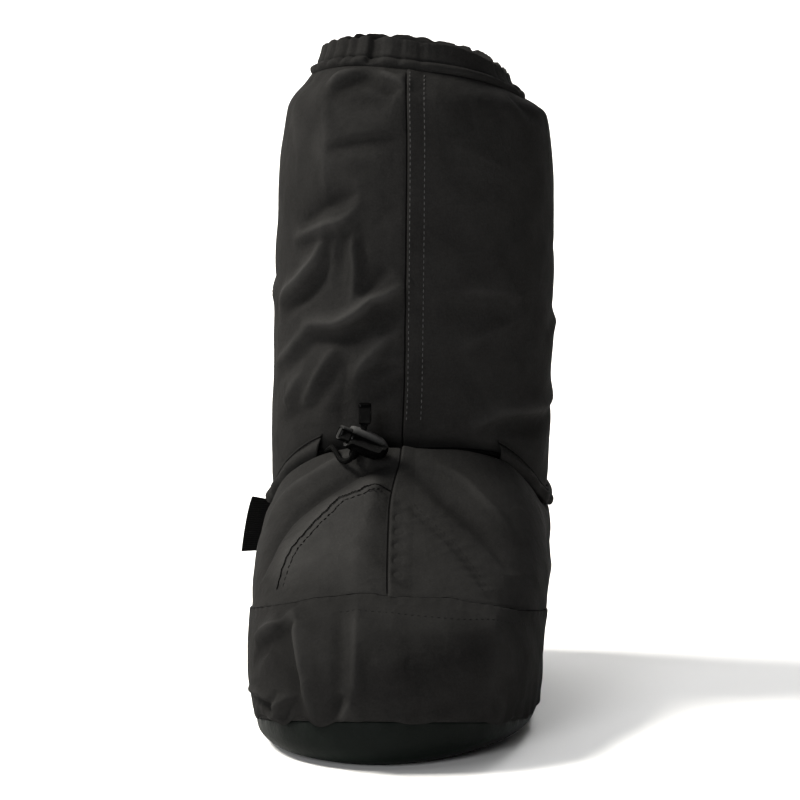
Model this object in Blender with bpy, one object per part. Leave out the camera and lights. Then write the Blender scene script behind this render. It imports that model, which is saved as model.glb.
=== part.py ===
"""Insulated overshoe that is pulled on over a boot.

The toe points along -Y and the sole stands on Z = 0 under the shaft's axis.
Lengths in this file are millimetres; the meshes are scaled to metres.
"""

import math

import bmesh
import bpy
import numpy as np
from mathutils import Matrix, Vector

MM = 0.001

# Sizes of the last
FOOT_LENGTH = 345.0
HEEL_REACH = 88.0
TOE_REACH = FOOT_LENGTH - HEEL_REACH
BALL_WIDTH = 162.0
INSTEP_HEIGHT = 141.0
COLLAR_HEIGHT = 348.0
TOE_SWING = -7.0
SWING_START = 90.0
WAIST_PLACE = -55.0
WAIST_LENGTH = 38.0

# Walls and the room between neighbours
WALL = 4.0
GAP = 0.3
LAP_GAP = 0.45
TOE_CAP_THICK = 1.4
SEAM_LAP_THICK = 1.0
SEAM_LAP_LEFT = -1.0
SEAM_LAP_WIDTH = 10.0
SEAM_LAP_FOOT = 4.2
SEAM_LAP_STEPS = (-1, 0, 1, 2)

# Sole and footbed
SOLE_FLOOR = 5.0
ARCH_RISE = 2.5
ARCH_BACK = -28.0
ARCH_FRONT = -100.0
INSOLE_THICK = 6.0

# Ankle cord, its tunnel and its lock
CORD_RADIUS = 1.5
CORD_BEVEL = 2
CORD_LEVEL = 11.62
CORD_LIFT = 2.7
CORD_FRONT_LEVEL = 11.3
CORD_FRONT_LIFT = 4.4
TUNNEL_WALL = 1.2
TUNNEL_END_STEPS = 5
LOCK_PLACE = (-26.0, -99.0, 148.5)
LOCK_AXIS = (-0.86, -0.28, 0.42)
LOCK_FRONT = 6.0
LOCK_BACK = -17.0
LOCK_WIDTH = 14.0
LOCK_HEIGHT = 14.0
LOCK_SIDES = 20
LOCK_POWER = 0.8
BUTTON_WIDTH = 9.2
BUTTON_HEIGHT = 8.2
BUTTON_SIDES = 16
BUTTON_POWER = 0.5
BUTTON_TIP = 12.0
BUTTON_INNER = -4.0
BUTTON_TRAVEL = 4.0
BUTTON_PLAY = 0.25
BORE_MOUTH = 1.0
EYE_LENGTH = 4.4
EYE_WIDTH = 7.6
STRAND_APART = 3.5
STRAND_LIFTS = (-8.0, -4.0, 0.0, 4.0)
CORD_END_SIZE = (7.0, 7.0, 11.5)
CORD_END_PLACE = (-22.6, -97.8, 163.0)
CORD_END_ROUND = 1.1
CORD_END_ROUND_STEPS = 2
CORD_END_ROOM = 1.2

# Side tab
TAB_PLACE = 12.0
TAB_LEVELS = (4.3, 9.3)
TAB_THICK = 2.2
TAB_TOP_X = -94.0
TAB_BOTTOM_X = -100.5
TAB_TOP_RISE = 2.5
TAB_BOTTOM_RISE = -1.5
TAB_ROWS = 6

# Points round a section, starting at the toe and turning towards +X
AROUND = 48
STEP = 2.0 * math.pi / AROUND
HALF_TURN_STEPS = 181
CURVE_STEPS = 12
TUNNEL_ANGLE = math.degrees(TUNNEL_END_STEPS * STEP)
COLLAR_AROUND = 60
PLEATS = 12
PLEAT_DEPTH = 0.7

# Sections of the foot. Reaches are shares of TOE_REACH and HEEL_REACH, width is a share of
# BALL_WIDTH, heights are shares of INSTEP_HEIGHT; waist, tilt and sway are millimetres.
# Columns: name, front, back, width, z_front, z_side, z_back, fall, taper, fullness, waist, tilt, sway
FOOT_SECTIONS = (
    ("sole_seam", 0.992, 0.970, 0.918, 0.184, 0.050, 0.120, 2.0, 0.10, 0.34, 4.0, 0.0, -2.5),
    ("bumper", 1.000, 1.000, 0.943, 0.262, 0.155, 0.230, 2.2, 0.10, 0.34, 4.0, 0.0, -2.5),
    ("toe_bulge", 0.990, 1.000, 0.952, 0.365, 0.265, 0.345, 2.5, 0.10, 0.33, 3.0, 0.0, -2.5),
    ("toe_crown", 0.940, 0.990, 0.965, 0.472, 0.360, 0.450, 2.8, 0.09, 0.33, 2.0, 0.0, -2.5),
    ("cap_seam", 0.830, 0.977, 0.985, 0.562, 0.440, 0.545, 3.0, 0.08, 0.36, 1.0, 0.0, -2.5),
    ("vamp_low", 0.700, 0.966, 1.000, 0.660, 0.512, 0.630, 3.0, 0.06, 0.42, 0.0, 0.0, -2.5),
    ("vamp_mid", 0.565, 0.958, 1.000, 0.772, 0.572, 0.710, 3.0, 0.04, 0.44, 0.0, 0.0, -2.5),
    ("instep", 0.440, 0.952, 0.998, 0.885, 0.624, 0.775, 3.0, 0.02, 0.42, 0.0, 0.0, -2.5),
    ("bulge", 0.372, 0.950, 0.992, 0.958, 0.658, 0.825, 3.0, 0.00, 0.34, 0.0, 0.0, -2.5),
    ("bulge_top", 0.329, 0.945, 0.970, 1.010, 0.682, 0.860, 3.0, 0.00, 0.26, 0.0, 0.0, -2.5),
    ("crease_floor", 0.290, 0.925, 0.935, 0.955, 0.694, 0.873, 3.0, 0.00, 0.20, 0.0, 0.0, -2.5),
    ("crease_back", 0.276, 0.914, 0.922, 0.990, 0.706, 0.887, 3.0, 0.00, 0.18, 0.0, 0.0, -2.5),
)

# Sections of the shaft, in the same columns. Heights are shares of the way from the instep to the collar.
SHAFT_SECTIONS = (
    ("ankle_cuff", 0.300, 0.940, 0.957, 0.053, -0.163, -0.033, 3.0, 0.0, 0.14, 0.0, 0.0, -2.5),
    ("shaft_base", 0.307, 0.958, 0.982, 0.150, -0.030, 0.091, 3.0, 0.0, 0.10, 0.0, 0.0, -2.0),
    ("shaft_mid", 0.303, 0.955, 0.982, 0.498, 0.474, 0.498, 3.0, 0.0, 0.06, 0.0, 0.0, 0.5),
    ("shaft_upper", 0.293, 0.925, 0.952, 0.785, 0.766, 0.785, 3.0, 0.0, 0.06, 0.0, -1.0, 1.5),
    ("shoulder", 0.275, 0.860, 0.912, 0.915, 0.878, 0.915, 3.0, 0.0, 0.06, 0.0, -2.0, 2.0),
    ("collar_seam", 0.218, 0.690, 0.750, 1.000, 0.947, 1.000, 3.0, 0.0, 0.06, 0.0, -7.0, 2.5),
)

# Sections of the sole. Heights are shares of the height of the sole seam above the floor; the
# front corners are drawn in on the left and on the right by the last two columns, in millimetres.
# Columns: name, front, back, width, z_front, z_side, z_back, left, right
SOLE_SECTIONS = (
    ("tread", 0.930, 0.880, 0.800, 0.00, 0.00, 0.00, 5.0, 15.0),
    ("lower_edge", 0.970, 0.935, 0.870, 0.16, 0.20, 0.16, 3.0, 9.0),
    ("edge_round", 0.987, 0.960, 0.905, 0.50, 0.55, 0.50, 1.0, 3.0),
)

# Floor of the cup and outline of the footbed: front, back, width, left, right
CUP_FLOOR = (0.935, 0.890, 0.815, 4.0, 11.0)
INSOLE_OUTLINE = (0.924, 0.872, 0.800, 4.0, 11.0)

# Levels of the upper where a section is laid; a whole number is a row of the tables.
LEVELS = (
    0.0, 0.5, 1.0, 1.5, 2.0, 2.5, 3.0, 3.5, 4.0, 4.5, 5.0, 6.0, 7.0, 8.0, 8.5, 9.0, 9.5, 10.0,
    10.5, 11.0, 11.31, 11.62, 11.93, 12.3, 13.0, 13.5, 14.0, 15.0, 15.5, 16.0, 17.0,
)
LINING_LEVELS = (
    0.0, 1.0, 2.0, 3.0, 4.0, 5.0, 6.0, 7.0, 8.0, 9.0, 10.0, 11.0, 11.62, 12.3, 13.0, 14.0, 15.0, 16.0,
    17.0,
)
LINING_REACH = 0.6
FINE_REACH = 0.01
TOE_CAP_LEVELS = (0.2, 0.5, 1.0, 1.5, 2.0, 2.5, 3.0, 3.5, 4.0)
TOE_CAP_STEPS = 13
TOE_CAP_CUT = (-118.0, 66.0)
TOE_CAP_CUT_TURN = 42.0

# Tunnel across its height: level on the upper and how far its skin stands off there.
TUNNEL_PROFILE = (
    (11.10, 0.0), (11.24, 0.5), (11.40, 3.7), (11.62, 4.5), (11.84, 3.7), (12.00, 0.5), (12.14, 0.0),
)

# Casing across its height: out from the wall's outer face, and up along the wall from its rim.
CASING_PROFILE = (
    (0.0, 0.5), (1.5, 1.6), (2.1, 3.4), (1.3, 5.4), (-0.3, 6.6), (0.5, 8.4), (0.6, 13.0),
    (0.1, 17.0), (-1.4, 19.4), (-3.2, 19.4), (-4.4, 17.0), (-4.6, 9.0), (-4.0, 0.5),
)
CASING_UPRIGHT = 0.45

# Route of the cord by hand, from each strand's eye in the lock to the crease.
LEFT_STRAND = ((-31.2, -100.0, 137.6), (-36.0, -93.5, 137.0), (-41.0, -82.0, 142.0))
RIGHT_STRAND = ((-28.8, -94.6, 138.6), (-24.5, -88.6, 142.6), (-18.8, -81.5, 143.6))
CORD_POINT_EVERY = 6.5

# The cord in the crease and round the heel: first and last turn in degrees, and points.
LEFT_CREASE = (-30.0, -37.5, 4)
HEEL_ROUND = (-50.0, -310.0, 19)
RIGHT_CREASE = (37.5, -8.0, 8)

# Body and button of the lock: place along the axis and share of the full section.
LOCK_STATIONS = (
    (LOCK_BACK, 0.42),
    (LOCK_BACK + 1.5, 0.68),
    (LOCK_BACK + 5.0, 0.92),
    (LOCK_BACK + 10.0, 1.0),
    (LOCK_FRONT - 5.0, 0.98),
    (LOCK_FRONT - 1.0, 0.9),
    (LOCK_FRONT, 0.84),
)
BUTTON_STATIONS = (
    (BUTTON_INNER, 1.0),
    (BUTTON_TIP - 1.2, 1.0),
    (BUTTON_TIP - 0.3, 0.93),
    (BUTTON_TIP, 0.8),
)

# Tab across its width: share of the way out and share of its thickness.
TAB_SECTIONS = ((0.0, 1.0), (0.55, 1.0), (0.94, 1.0), (1.0, 0.45))

# Colour and roughness of each piece
FINISHES = {
    "outsole": ((0.028, 0.031, 0.028), 0.7),
    "insole": ((0.05, 0.05, 0.055), 0.9),
    "upper": ((0.035, 0.035, 0.038), 0.82),
    "toe_cap": ((0.036, 0.036, 0.039), 0.8),
    "front_seam_lap": ((0.034, 0.034, 0.037), 0.8),
    "collar_casing": ((0.033, 0.033, 0.036), 0.82),
    "cord_tunnel": ((0.03, 0.03, 0.033), 0.8),
    "drawcord": ((0.012, 0.012, 0.013), 0.6),
    "cord_lock_body": ((0.012, 0.012, 0.013), 0.28),
    "cord_lock_button": ((0.012, 0.012, 0.013), 0.28),
    "cord_end": ((0.012, 0.012, 0.013), 0.35),
    "side_tab": ((0.008, 0.008, 0.009), 0.85),
}


def clear_scene():
    for thing in list(bpy.data.objects):
        bpy.data.objects.remove(thing, do_unlink=True)


def smooth_rows(table, level):
    """A row between the table's rows, by a cubic that never overshoots them."""
    gap = np.diff(table, axis=0)
    before, after = gap[:-1], gap[1:]
    same_way = before * after > 0.0
    mean = np.where(same_way, before + after, 1.0)
    inner = np.where(same_way, 2.0 * before * after / mean, 0.0)
    slope = np.vstack([gap[:1], inner, gap[-1:]])
    low = min(int(level), len(table) - 2)
    u = level - low
    return (
        (1.0 + 2.0 * u) * (1.0 - u) ** 2 * table[low]
        + u * (1.0 - u) ** 2 * slope[low]
        + u * u * (3.0 - 2.0 * u) * table[low + 1]
        + u * u * (u - 1.0) * slope[low + 1]
    )


def upper_table():
    """The rows of both upper tables in millimetres."""
    rows = []
    for row in FOOT_SECTIONS:
        heights = [share * INSTEP_HEIGHT for share in row[4:7]]
        rows.append(list(row[1:4]) + heights + list(row[7:]))
    rise = COLLAR_HEIGHT - INSTEP_HEIGHT
    for row in SHAFT_SECTIONS:
        heights = [INSTEP_HEIGHT + share * rise for share in row[4:7]]
        rows.append(list(row[1:4]) + heights + list(row[7:]))
    table = np.array(rows)
    table[:, 0] *= -TOE_REACH
    table[:, 1] *= HEEL_REACH
    table[:, 2] *= 0.5 * BALL_WIDTH
    return table


UPPER = upper_table()


def section(row, angles):
    """A closed section: an oval with its own front, back, width and heights.

    Its half width is sin(a) (1 + fullness cos(a)^2) (1 + taper cos(a)), scaled to the row's
    width; its height falls from the front's or the back's to the side's with sin(a)^fall.
    """
    front, back, width, z_front, z_side, z_back, fall, taper, fullness, waist, tilt, sway = row
    along = np.cos(angles)
    across = np.sin(angles)
    fine = np.linspace(0.0, math.pi, HALF_TURN_STEPS)
    widest = np.max(
        np.sin(fine) * (1.0 + fullness * np.cos(fine) ** 2) * (1.0 + taper * np.cos(fine))
    )
    x = width / widest * across * (1.0 + fullness * along**2) * (1.0 + taper * along)
    y = 0.5 * (front + back) - 0.5 * (back - front) * along
    z_end = np.where(along > 0.0, z_front, z_back)
    z = z_end - (z_end - z_side) * np.abs(across) ** fall + tilt * across
    pinch = waist * np.exp(-(((y - WAIST_PLACE) / WAIST_LENGTH) ** 2))
    swing = np.clip((-y - SWING_START) / (TOE_REACH - SWING_START), 0.0, 1.0)
    x = x - pinch * np.clip(across, 0.0, 1.0) + TOE_SWING * swing**2 + sway
    return np.stack([x, y, z], axis=-1)


def upper_frame(level, angles, reach=FINE_REACH):
    """Points of the upper's outer face, the way out of it and the way up along it.

    The ways are taken over reach levels either side, so a wide reach evens out the folds.
    """
    angles = np.asarray(angles, dtype=float)
    top = len(UPPER) - 1.0
    row = smooth_rows(UPPER, level)
    here = section(row, angles)
    above = section(smooth_rows(UPPER, min(level + reach, top)), angles)
    below = section(smooth_rows(UPPER, max(level - reach, 0.0)), angles)
    turn = section(row, angles + FINE_REACH) - section(row, angles - FINE_REACH)
    up = above - below
    out = np.cross(turn, up)
    if level == 0.0:
        out[:, 2] = 0.0
    out /= np.linalg.norm(out, axis=1, keepdims=True)
    up /= np.linalg.norm(up, axis=1, keepdims=True)
    return here, out, up


def upper_ring(level, angles, off, reach=FINE_REACH):
    """A ring of the upper's own form, moved out by off (in, where it is negative)."""
    here, out, up = upper_frame(level, angles, reach)
    return here + off * out


def ring_angles(count):
    return np.arange(count) * (2.0 * math.pi / count)


def material(name, colour, roughness):
    made = bpy.data.materials.new(name)
    made.use_nodes = True
    made.diffuse_color = (*colour, 1.0)
    shader = made.node_tree.nodes["Principled BSDF"]
    shader.inputs["Base Color"].default_value = (*colour, 1.0)
    shader.inputs["Roughness"].default_value = roughness
    shader.inputs["Metallic"].default_value = 0.0
    return made


def finish(name, mesh, parent):
    thing = bpy.data.objects.new(name, mesh)
    bpy.context.collection.objects.link(thing)
    mesh.materials.append(material(name + "_finish", *FINISHES[name]))
    thing.parent = parent
    return thing


def mesh_from(name, made):
    """A mesh in metres out of a bmesh in millimetres, faces turned outwards."""
    bmesh.ops.recalc_face_normals(made, faces=made.faces)
    bmesh.ops.scale(made, vec=(MM, MM, MM), verts=made.verts)
    mesh = bpy.data.meshes.new(name)
    made.to_mesh(mesh)
    made.free()
    return mesh


def add_ring(made, points):
    return [made.verts.new(point) for point in points]


def bridge(made, low, high):
    """Quads between two closed rings of one count."""
    count = len(low)
    for k in range(count):
        after = (k + 1) % count
        made.faces.new((low[k], low[after], high[after], high[k]))


def ladder(made, ring):
    """Fills a ring that is alike left and right with rungs across it."""
    count = len(ring)
    half = count // 2
    made.faces.new((ring[0], ring[1], ring[count - 1]))
    for k in range(1, half - 1):
        made.faces.new((ring[k], ring[k + 1], ring[count - k - 1], ring[count - k]))
    made.faces.new((ring[half - 1], ring[half], ring[half + 1]))


def panel(name, outer, inner):
    """A closed sheet between two grids of one shape."""
    made = bmesh.new()
    faces_out = [add_ring(made, row) for row in outer]
    faces_in = [add_ring(made, row) for row in inner]
    rows = len(outer)
    columns = len(outer[0])
    for grid in (faces_out, faces_in):
        for i in range(rows - 1):
            for k in range(columns - 1):
                corners = (grid[i][k], grid[i][k + 1], grid[i + 1][k + 1], grid[i + 1][k])
                made.faces.new(corners)
    edge = [(0, k) for k in range(columns)]
    edge += [(i, columns - 1) for i in range(1, rows)]
    edge += [(rows - 1, k) for k in range(columns - 2, -1, -1)]
    edge += [(i, 0) for i in range(rows - 2, 0, -1)]
    for (i, k), (m, n) in zip(edge, edge[1:] + edge[:1]):
        made.faces.new((faces_out[i][k], faces_out[m][n], faces_in[m][n], faces_in[i][k]))
    return mesh_from(name, made)


def cut(thing, cutter, operation):
    """Leaves a Boolean on the piece; its cutter is a guide."""
    step = thing.modifiers.new(operation.lower() + "_" + cutter.name, "BOOLEAN")
    step.operation = operation
    step.solver = "EXACT"
    step.object = cutter
    cutter.hide_render = True
    cutter.display_type = "WIRE"


def block(name, low, high, parent, turn=None):
    """A box guide between two corners, turned about the end of its low edge."""
    made = bmesh.new()
    bmesh.ops.create_cube(made, size=1.0)
    size = Vector(high) - Vector(low)
    bmesh.ops.scale(made, vec=size, verts=made.verts)
    bmesh.ops.translate(made, vec=0.5 * (Vector(high) + Vector(low)), verts=made.verts)
    if turn is not None:
        place, degrees = turn
        spin = Matrix.Rotation(math.radians(degrees), 3, "X")
        bmesh.ops.rotate(made, cent=Vector(place), matrix=spin, verts=made.verts)
    thing = bpy.data.objects.new(name, mesh_from(name, made))
    bpy.context.collection.objects.link(thing)
    thing.parent = parent
    return thing


def guide(name, place=(0.0, 0.0, 0.0)):
    made = bpy.data.objects.new(name, None)
    bpy.context.collection.objects.link(made)
    made.location = Vector(place) * MM
    return made


def make_upper(parent):
    """Hollow shell: outer sections up to the collar, inner ones back down."""
    angles = ring_angles(AROUND)
    made = bmesh.new()
    outer = [add_ring(made, upper_ring(level, angles, 0.0)) for level in LEVELS]
    inner = []
    for level in LINING_LEVELS:
        inner.append(add_ring(made, upper_ring(level, angles, -WALL, LINING_REACH)))
    rings = outer + inner[::-1]
    for low, high in zip(rings, rings[1:] + rings[:1]):
        bridge(made, low, high)
    return finish("upper", mesh_from("upper", made), parent)


def sole_ring(reach, back, width, left, right, heights):
    """A section of the sole: the sole seam's with another reach and height.

    Its front corners are drawn in by left and right, most at 45 degrees from the toe.
    """
    row = UPPER[0].copy()
    row[0] = -reach * TOE_REACH
    row[1] = back * HEEL_REACH
    row[2] = width * 0.5 * BALL_WIDTH
    row[3:6] = heights
    angles = ring_angles(AROUND)
    ring = section(row, angles)
    ahead = np.clip(np.cos(angles), 0.0, 1.0)
    drawn_in = np.where(np.sin(angles) > 0.0, right, left)
    ring[:, 0] -= drawn_in * 2.0 * ahead * np.sin(angles)
    return ring


def make_outsole(parent):
    """Soft cup: flat tread with a raised waist, rounded edge, and a rim to the sole seam."""
    angles = ring_angles(AROUND)
    seam = UPPER[0, 3:6]
    made = bmesh.new()
    rings = []
    for name, reach, back, width, z_front, z_side, z_back, left, right in SOLE_SECTIONS:
        heights = seam * np.array([z_front, z_side, z_back])
        rings.append(sole_ring(reach, back, width, left, right, heights))
    tread = rings[0]
    along = np.clip((tread[:, 1] - ARCH_FRONT) / (ARCH_BACK - ARCH_FRONT), 0.0, 1.0)
    tread[:, 2] = ARCH_RISE * np.sin(math.pi * along) ** 2
    drop = np.array([0.0, 0.0, GAP])
    rings.append(upper_ring(0.0, angles, 0.0) - drop)
    rings.append(upper_ring(0.0, angles, -WALL, LINING_REACH) - drop)
    rings.append(sole_ring(*CUP_FLOOR, SOLE_FLOOR))
    loops = [add_ring(made, ring) for ring in rings]
    for low, high in zip(loops, loops[1:]):
        bridge(made, low, high)
    ladder(made, loops[0])
    ladder(made, loops[-1])
    return finish("outsole", mesh_from("outsole", made), parent)


def make_insole(parent):
    """Footbed that lies in the cup."""
    made = bmesh.new()
    under = SOLE_FLOOR + GAP
    loops = []
    for height in (under, under + INSOLE_THICK):
        loops.append(add_ring(made, sole_ring(*INSOLE_OUTLINE, height)))
    bridge(made, loops[0], loops[1])
    ladder(made, loops[0])
    ladder(made, loops[1])
    return finish("insole", mesh_from("insole", made), parent)


def lap(name, levels, angles, thick):
    """A layer on the upper, cut from the upper's own form between two stand-offs."""
    outer = [upper_ring(level, angles, LAP_GAP + thick) for level in levels]
    inner = [upper_ring(level, angles, LAP_GAP) for level in levels]
    return panel(name, outer, inner)


def make_toe_cap(parent):
    """Band over the toe from the sole seam to the cap seam; its back edge slants down."""
    angles = np.arange(-TOE_CAP_STEPS, TOE_CAP_STEPS + 1) * STEP
    mesh = lap("toe_cap", TOE_CAP_LEVELS, angles, TOE_CAP_THICK)
    cap = finish("toe_cap", mesh, parent)
    y, z = TOE_CAP_CUT
    far = 2.0 * FOOT_LENGTH
    low = (-far, y, z - far)
    high = (far, y + far, z + far)
    turn = ((0.0, y, z), TOE_CAP_CUT_TURN)
    cut(cap, block("toe_cap_back_edge", low, high, parent, turn), "DIFFERENCE")
    return cap


def make_seam_lap(parent):
    """Strip of the lapped front seam, from the cap seam over the instep to the collar."""
    angles = np.array(SEAM_LAP_STEPS) * STEP
    levels = (SEAM_LAP_FOOT,) + tuple(level for level in LEVELS if level > SEAM_LAP_FOOT)
    mesh = lap("front_seam_lap", levels, angles, SEAM_LAP_THICK)
    strip = finish("front_seam_lap", mesh, parent)
    low = (SEAM_LAP_LEFT, -2.0 * TOE_REACH, 0.0)
    high = (SEAM_LAP_LEFT + SEAM_LAP_WIDTH, 0.0, 2.0 * COLLAR_HEIGHT)
    cut(strip, block("front_seam_lap_width", low, high, parent), "INTERSECT")
    return strip


def make_casing(parent):
    """Gathered elastic casing: a roll over the collar seam and a pleated band above it."""
    angles = ring_angles(COLLAR_AROUND)
    here, out, up = upper_frame(len(UPPER) - 1.0, angles)
    top = max(rise for off, rise in CASING_PROFILE)
    made = bmesh.new()
    loops = []
    for off, rise in CASING_PROFILE:
        stand = CASING_UPRIGHT * (rise / top) ** 2
        way = up * (1.0 - stand) + np.array([0.0, 0.0, stand])
        pleat = PLEAT_DEPTH * (rise / top) * np.sin(PLEATS * angles)
        loops.append(add_ring(made, here + (off + pleat)[:, None] * out + rise * way))
    for low, high in zip(loops, loops[1:] + loops[:1]):
        bridge(made, low, high)
    return finish("collar_casing", mesh_from("collar_casing", made), parent)


def make_tunnel(parent):
    """Sewn tunnel round the back of the ankle with a channel for the cord."""
    angles = np.arange(TUNNEL_END_STEPS, AROUND - TUNNEL_END_STEPS + 1) * STEP
    outer = []
    inner = []
    for level, lift in TUNNEL_PROFILE:
        outer.append(upper_ring(level, angles, LAP_GAP + TUNNEL_WALL + lift))
        inner.append(upper_ring(level, angles, LAP_GAP + lift))
    return finish("cord_tunnel", panel("cord_tunnel", outer, inner), parent)


def lock_frame():
    """The lock's axes: along the button, across, and through the cord's eye."""
    along = Vector(LOCK_AXIS).normalized()
    eye = (Vector((0.0, 0.0, 1.0)) - along.z * along).normalized()
    across = eye.cross(along)
    return along, across, eye


def even_points(points, every):
    """Points at even steps on a smooth curve through the given ones."""
    points = np.asarray(points)
    ends = np.vstack([2 * points[0] - points[1], points, 2 * points[-1] - points[-2]])
    fine = []
    for a, b, c, d in zip(ends, ends[1:], ends[2:], ends[3:]):
        for u in np.linspace(0.0, 1.0, CURVE_STEPS, endpoint=False):
            bend = (2 * a - 5 * b + 4 * c - d) * u**2 + (3 * b - a - 3 * c + d) * u**3
            fine.append(0.5 * (2 * b + (c - a) * u + bend))
    fine.append(points[-1])
    fine = np.array(fine)
    run = np.concatenate([[0.0], np.cumsum(np.linalg.norm(np.diff(fine, axis=0), axis=1))])
    at = np.linspace(0.0, run[-1], int(run[-1] / every) + 1)
    return np.stack([np.interp(at, run, fine[:, i]) for i in range(3)], axis=1)


def crease_points(start, stop, count):
    """The cord in the ankle crease at the front, between two angles in degrees."""
    made = []
    for degrees in np.linspace(start, stop, count):
        turn = min(abs(degrees) / TUNNEL_ANGLE, 1.0) ** 2
        level = CORD_FRONT_LEVEL + (CORD_LEVEL - CORD_FRONT_LEVEL) * turn
        lift = CORD_FRONT_LIFT + (CORD_LIFT - CORD_FRONT_LIFT) * turn
        made.append(upper_ring(level, [math.radians(degrees)], lift)[0])
    return made


def make_drawcord(parent):
    """Elastic cord: cord end, lock, left tunnel mouth, round the heel, and back to the end."""
    along, across, eye = lock_frame()
    centre = Vector(LOCK_PLACE)
    tops = []
    for side in (1.0, -1.0):
        strand = centre + side * 0.5 * STRAND_APART * across
        tops.append([strand + lift * eye for lift in STRAND_LIFTS])
    end = Vector(CORD_END_PLACE) - Vector((0.0, 0.0, 0.5 * CORD_END_SIZE[2] + CORD_END_ROOM))
    left_end = end + 0.5 * STRAND_APART * across
    right_end = end - 0.5 * STRAND_APART * across
    route = [left_end] + tops[0][::-1] + [Vector(point) for point in LEFT_STRAND]
    route += [Vector(point) for point in crease_points(*LEFT_CREASE)]
    for degrees in np.linspace(*HEEL_ROUND):
        route.append(Vector(upper_ring(CORD_LEVEL, [math.radians(degrees)], CORD_LIFT)[0]))
    route += [Vector(point) for point in crease_points(*RIGHT_CREASE)]
    route += [Vector(point) for point in RIGHT_STRAND[::-1]] + tops[1] + [right_end]
    points = even_points([tuple(point) for point in route], CORD_POINT_EVERY)
    line = bpy.data.curves.new("drawcord", "CURVE")
    line.dimensions = "3D"
    line.bevel_depth = CORD_RADIUS * MM
    line.bevel_resolution = CORD_BEVEL
    line.use_fill_caps = True
    spline = line.splines.new("POLY")
    spline.points.add(len(points) - 1)
    for slot, point in zip(spline.points, points):
        slot.co = (*(point * MM), 1.0)
    return finish("drawcord", line, parent)


def rounded_oval(width, height, count, power):
    """A section between an oval and a rounded box."""
    angles = ring_angles(count)
    across = np.sign(np.cos(angles)) * np.abs(np.cos(angles)) ** power
    up = np.sign(np.sin(angles)) * np.abs(np.sin(angles)) ** power
    return np.stack([0.5 * width * across, 0.5 * height * up], axis=-1)


def barrel(name, stations, width, height, count, power):
    """A solid along X through scaled copies of one rounded section."""
    made = bmesh.new()
    loops = []
    for x, scale in stations:
        flat = scale * rounded_oval(width, height, count, power)
        loops.append([made.verts.new((x, p, q)) for p, q in flat])
    for low, high in zip(loops, loops[1:]):
        bridge(made, low, high)
    made.faces.new(loops[0])
    made.faces.new(loops[-1])
    return mesh_from(name, made)


def lock_guide(parent):
    """The guide that holds the lock's own axes: +X is the way the button points."""
    along, across, eye = lock_frame()
    made = guide("cord_lock_axis", LOCK_PLACE)
    made.rotation_euler = Matrix((along, across, eye)).transposed().to_euler()
    made.parent = parent
    return made


def make_lock(parent):
    """Spring cord lock: body with a bore and a cord eye, and the button that is pressed in."""
    axis = lock_guide(parent)
    body_mesh = barrel(
        "cord_lock_body", LOCK_STATIONS, LOCK_WIDTH, LOCK_HEIGHT, LOCK_SIDES, LOCK_POWER
    )
    body = finish("cord_lock_body", body_mesh, axis)
    inner_end = BUTTON_INNER - BUTTON_TRAVEL - 2.0 * BUTTON_PLAY
    bore_stations = ((inner_end, 1.0), (LOCK_FRONT + BORE_MOUTH, 1.0))
    bore_size = (BUTTON_WIDTH + 2.0 * BUTTON_PLAY, BUTTON_HEIGHT + 2.0 * BUTTON_PLAY)
    bore_mesh = barrel("lock_bore", bore_stations, *bore_size, BUTTON_SIDES, BUTTON_POWER)
    bore = bpy.data.objects.new("lock_bore", bore_mesh)
    bpy.context.collection.objects.link(bore)
    bore.parent = axis
    cut(body, bore, "DIFFERENCE")
    half = 0.5 * EYE_LENGTH
    wide = 0.5 * EYE_WIDTH
    deep = LOCK_HEIGHT
    eye = block("lock_eye", (-half, -wide, -deep), (half, wide, deep), axis)
    cut(body, eye, "DIFFERENCE")
    button_mesh = barrel(
        "cord_lock_button", BUTTON_STATIONS, BUTTON_WIDTH, BUTTON_HEIGHT, BUTTON_SIDES, BUTTON_POWER
    )
    button = finish("cord_lock_button", button_mesh, axis)
    low = (-half, -wide, -deep)
    high = (half + BUTTON_TRAVEL, wide, deep)
    cut(button, block("button_eye", low, high, axis), "DIFFERENCE")
    return body, button


def make_cord_end(parent):
    """Moulded end that holds both tails of the cord."""
    made = bmesh.new()
    bmesh.ops.create_cube(made, size=1.0)
    bmesh.ops.scale(made, vec=CORD_END_SIZE, verts=made.verts)
    bmesh.ops.bevel(
        made,
        geom=list(made.edges),
        offset=CORD_END_ROUND,
        segments=CORD_END_ROUND_STEPS,
        profile=0.5,
        affect="EDGES",
    )
    bmesh.ops.translate(made, vec=CORD_END_PLACE, verts=made.verts)
    return finish("cord_end", mesh_from("cord_end", made), parent)


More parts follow.
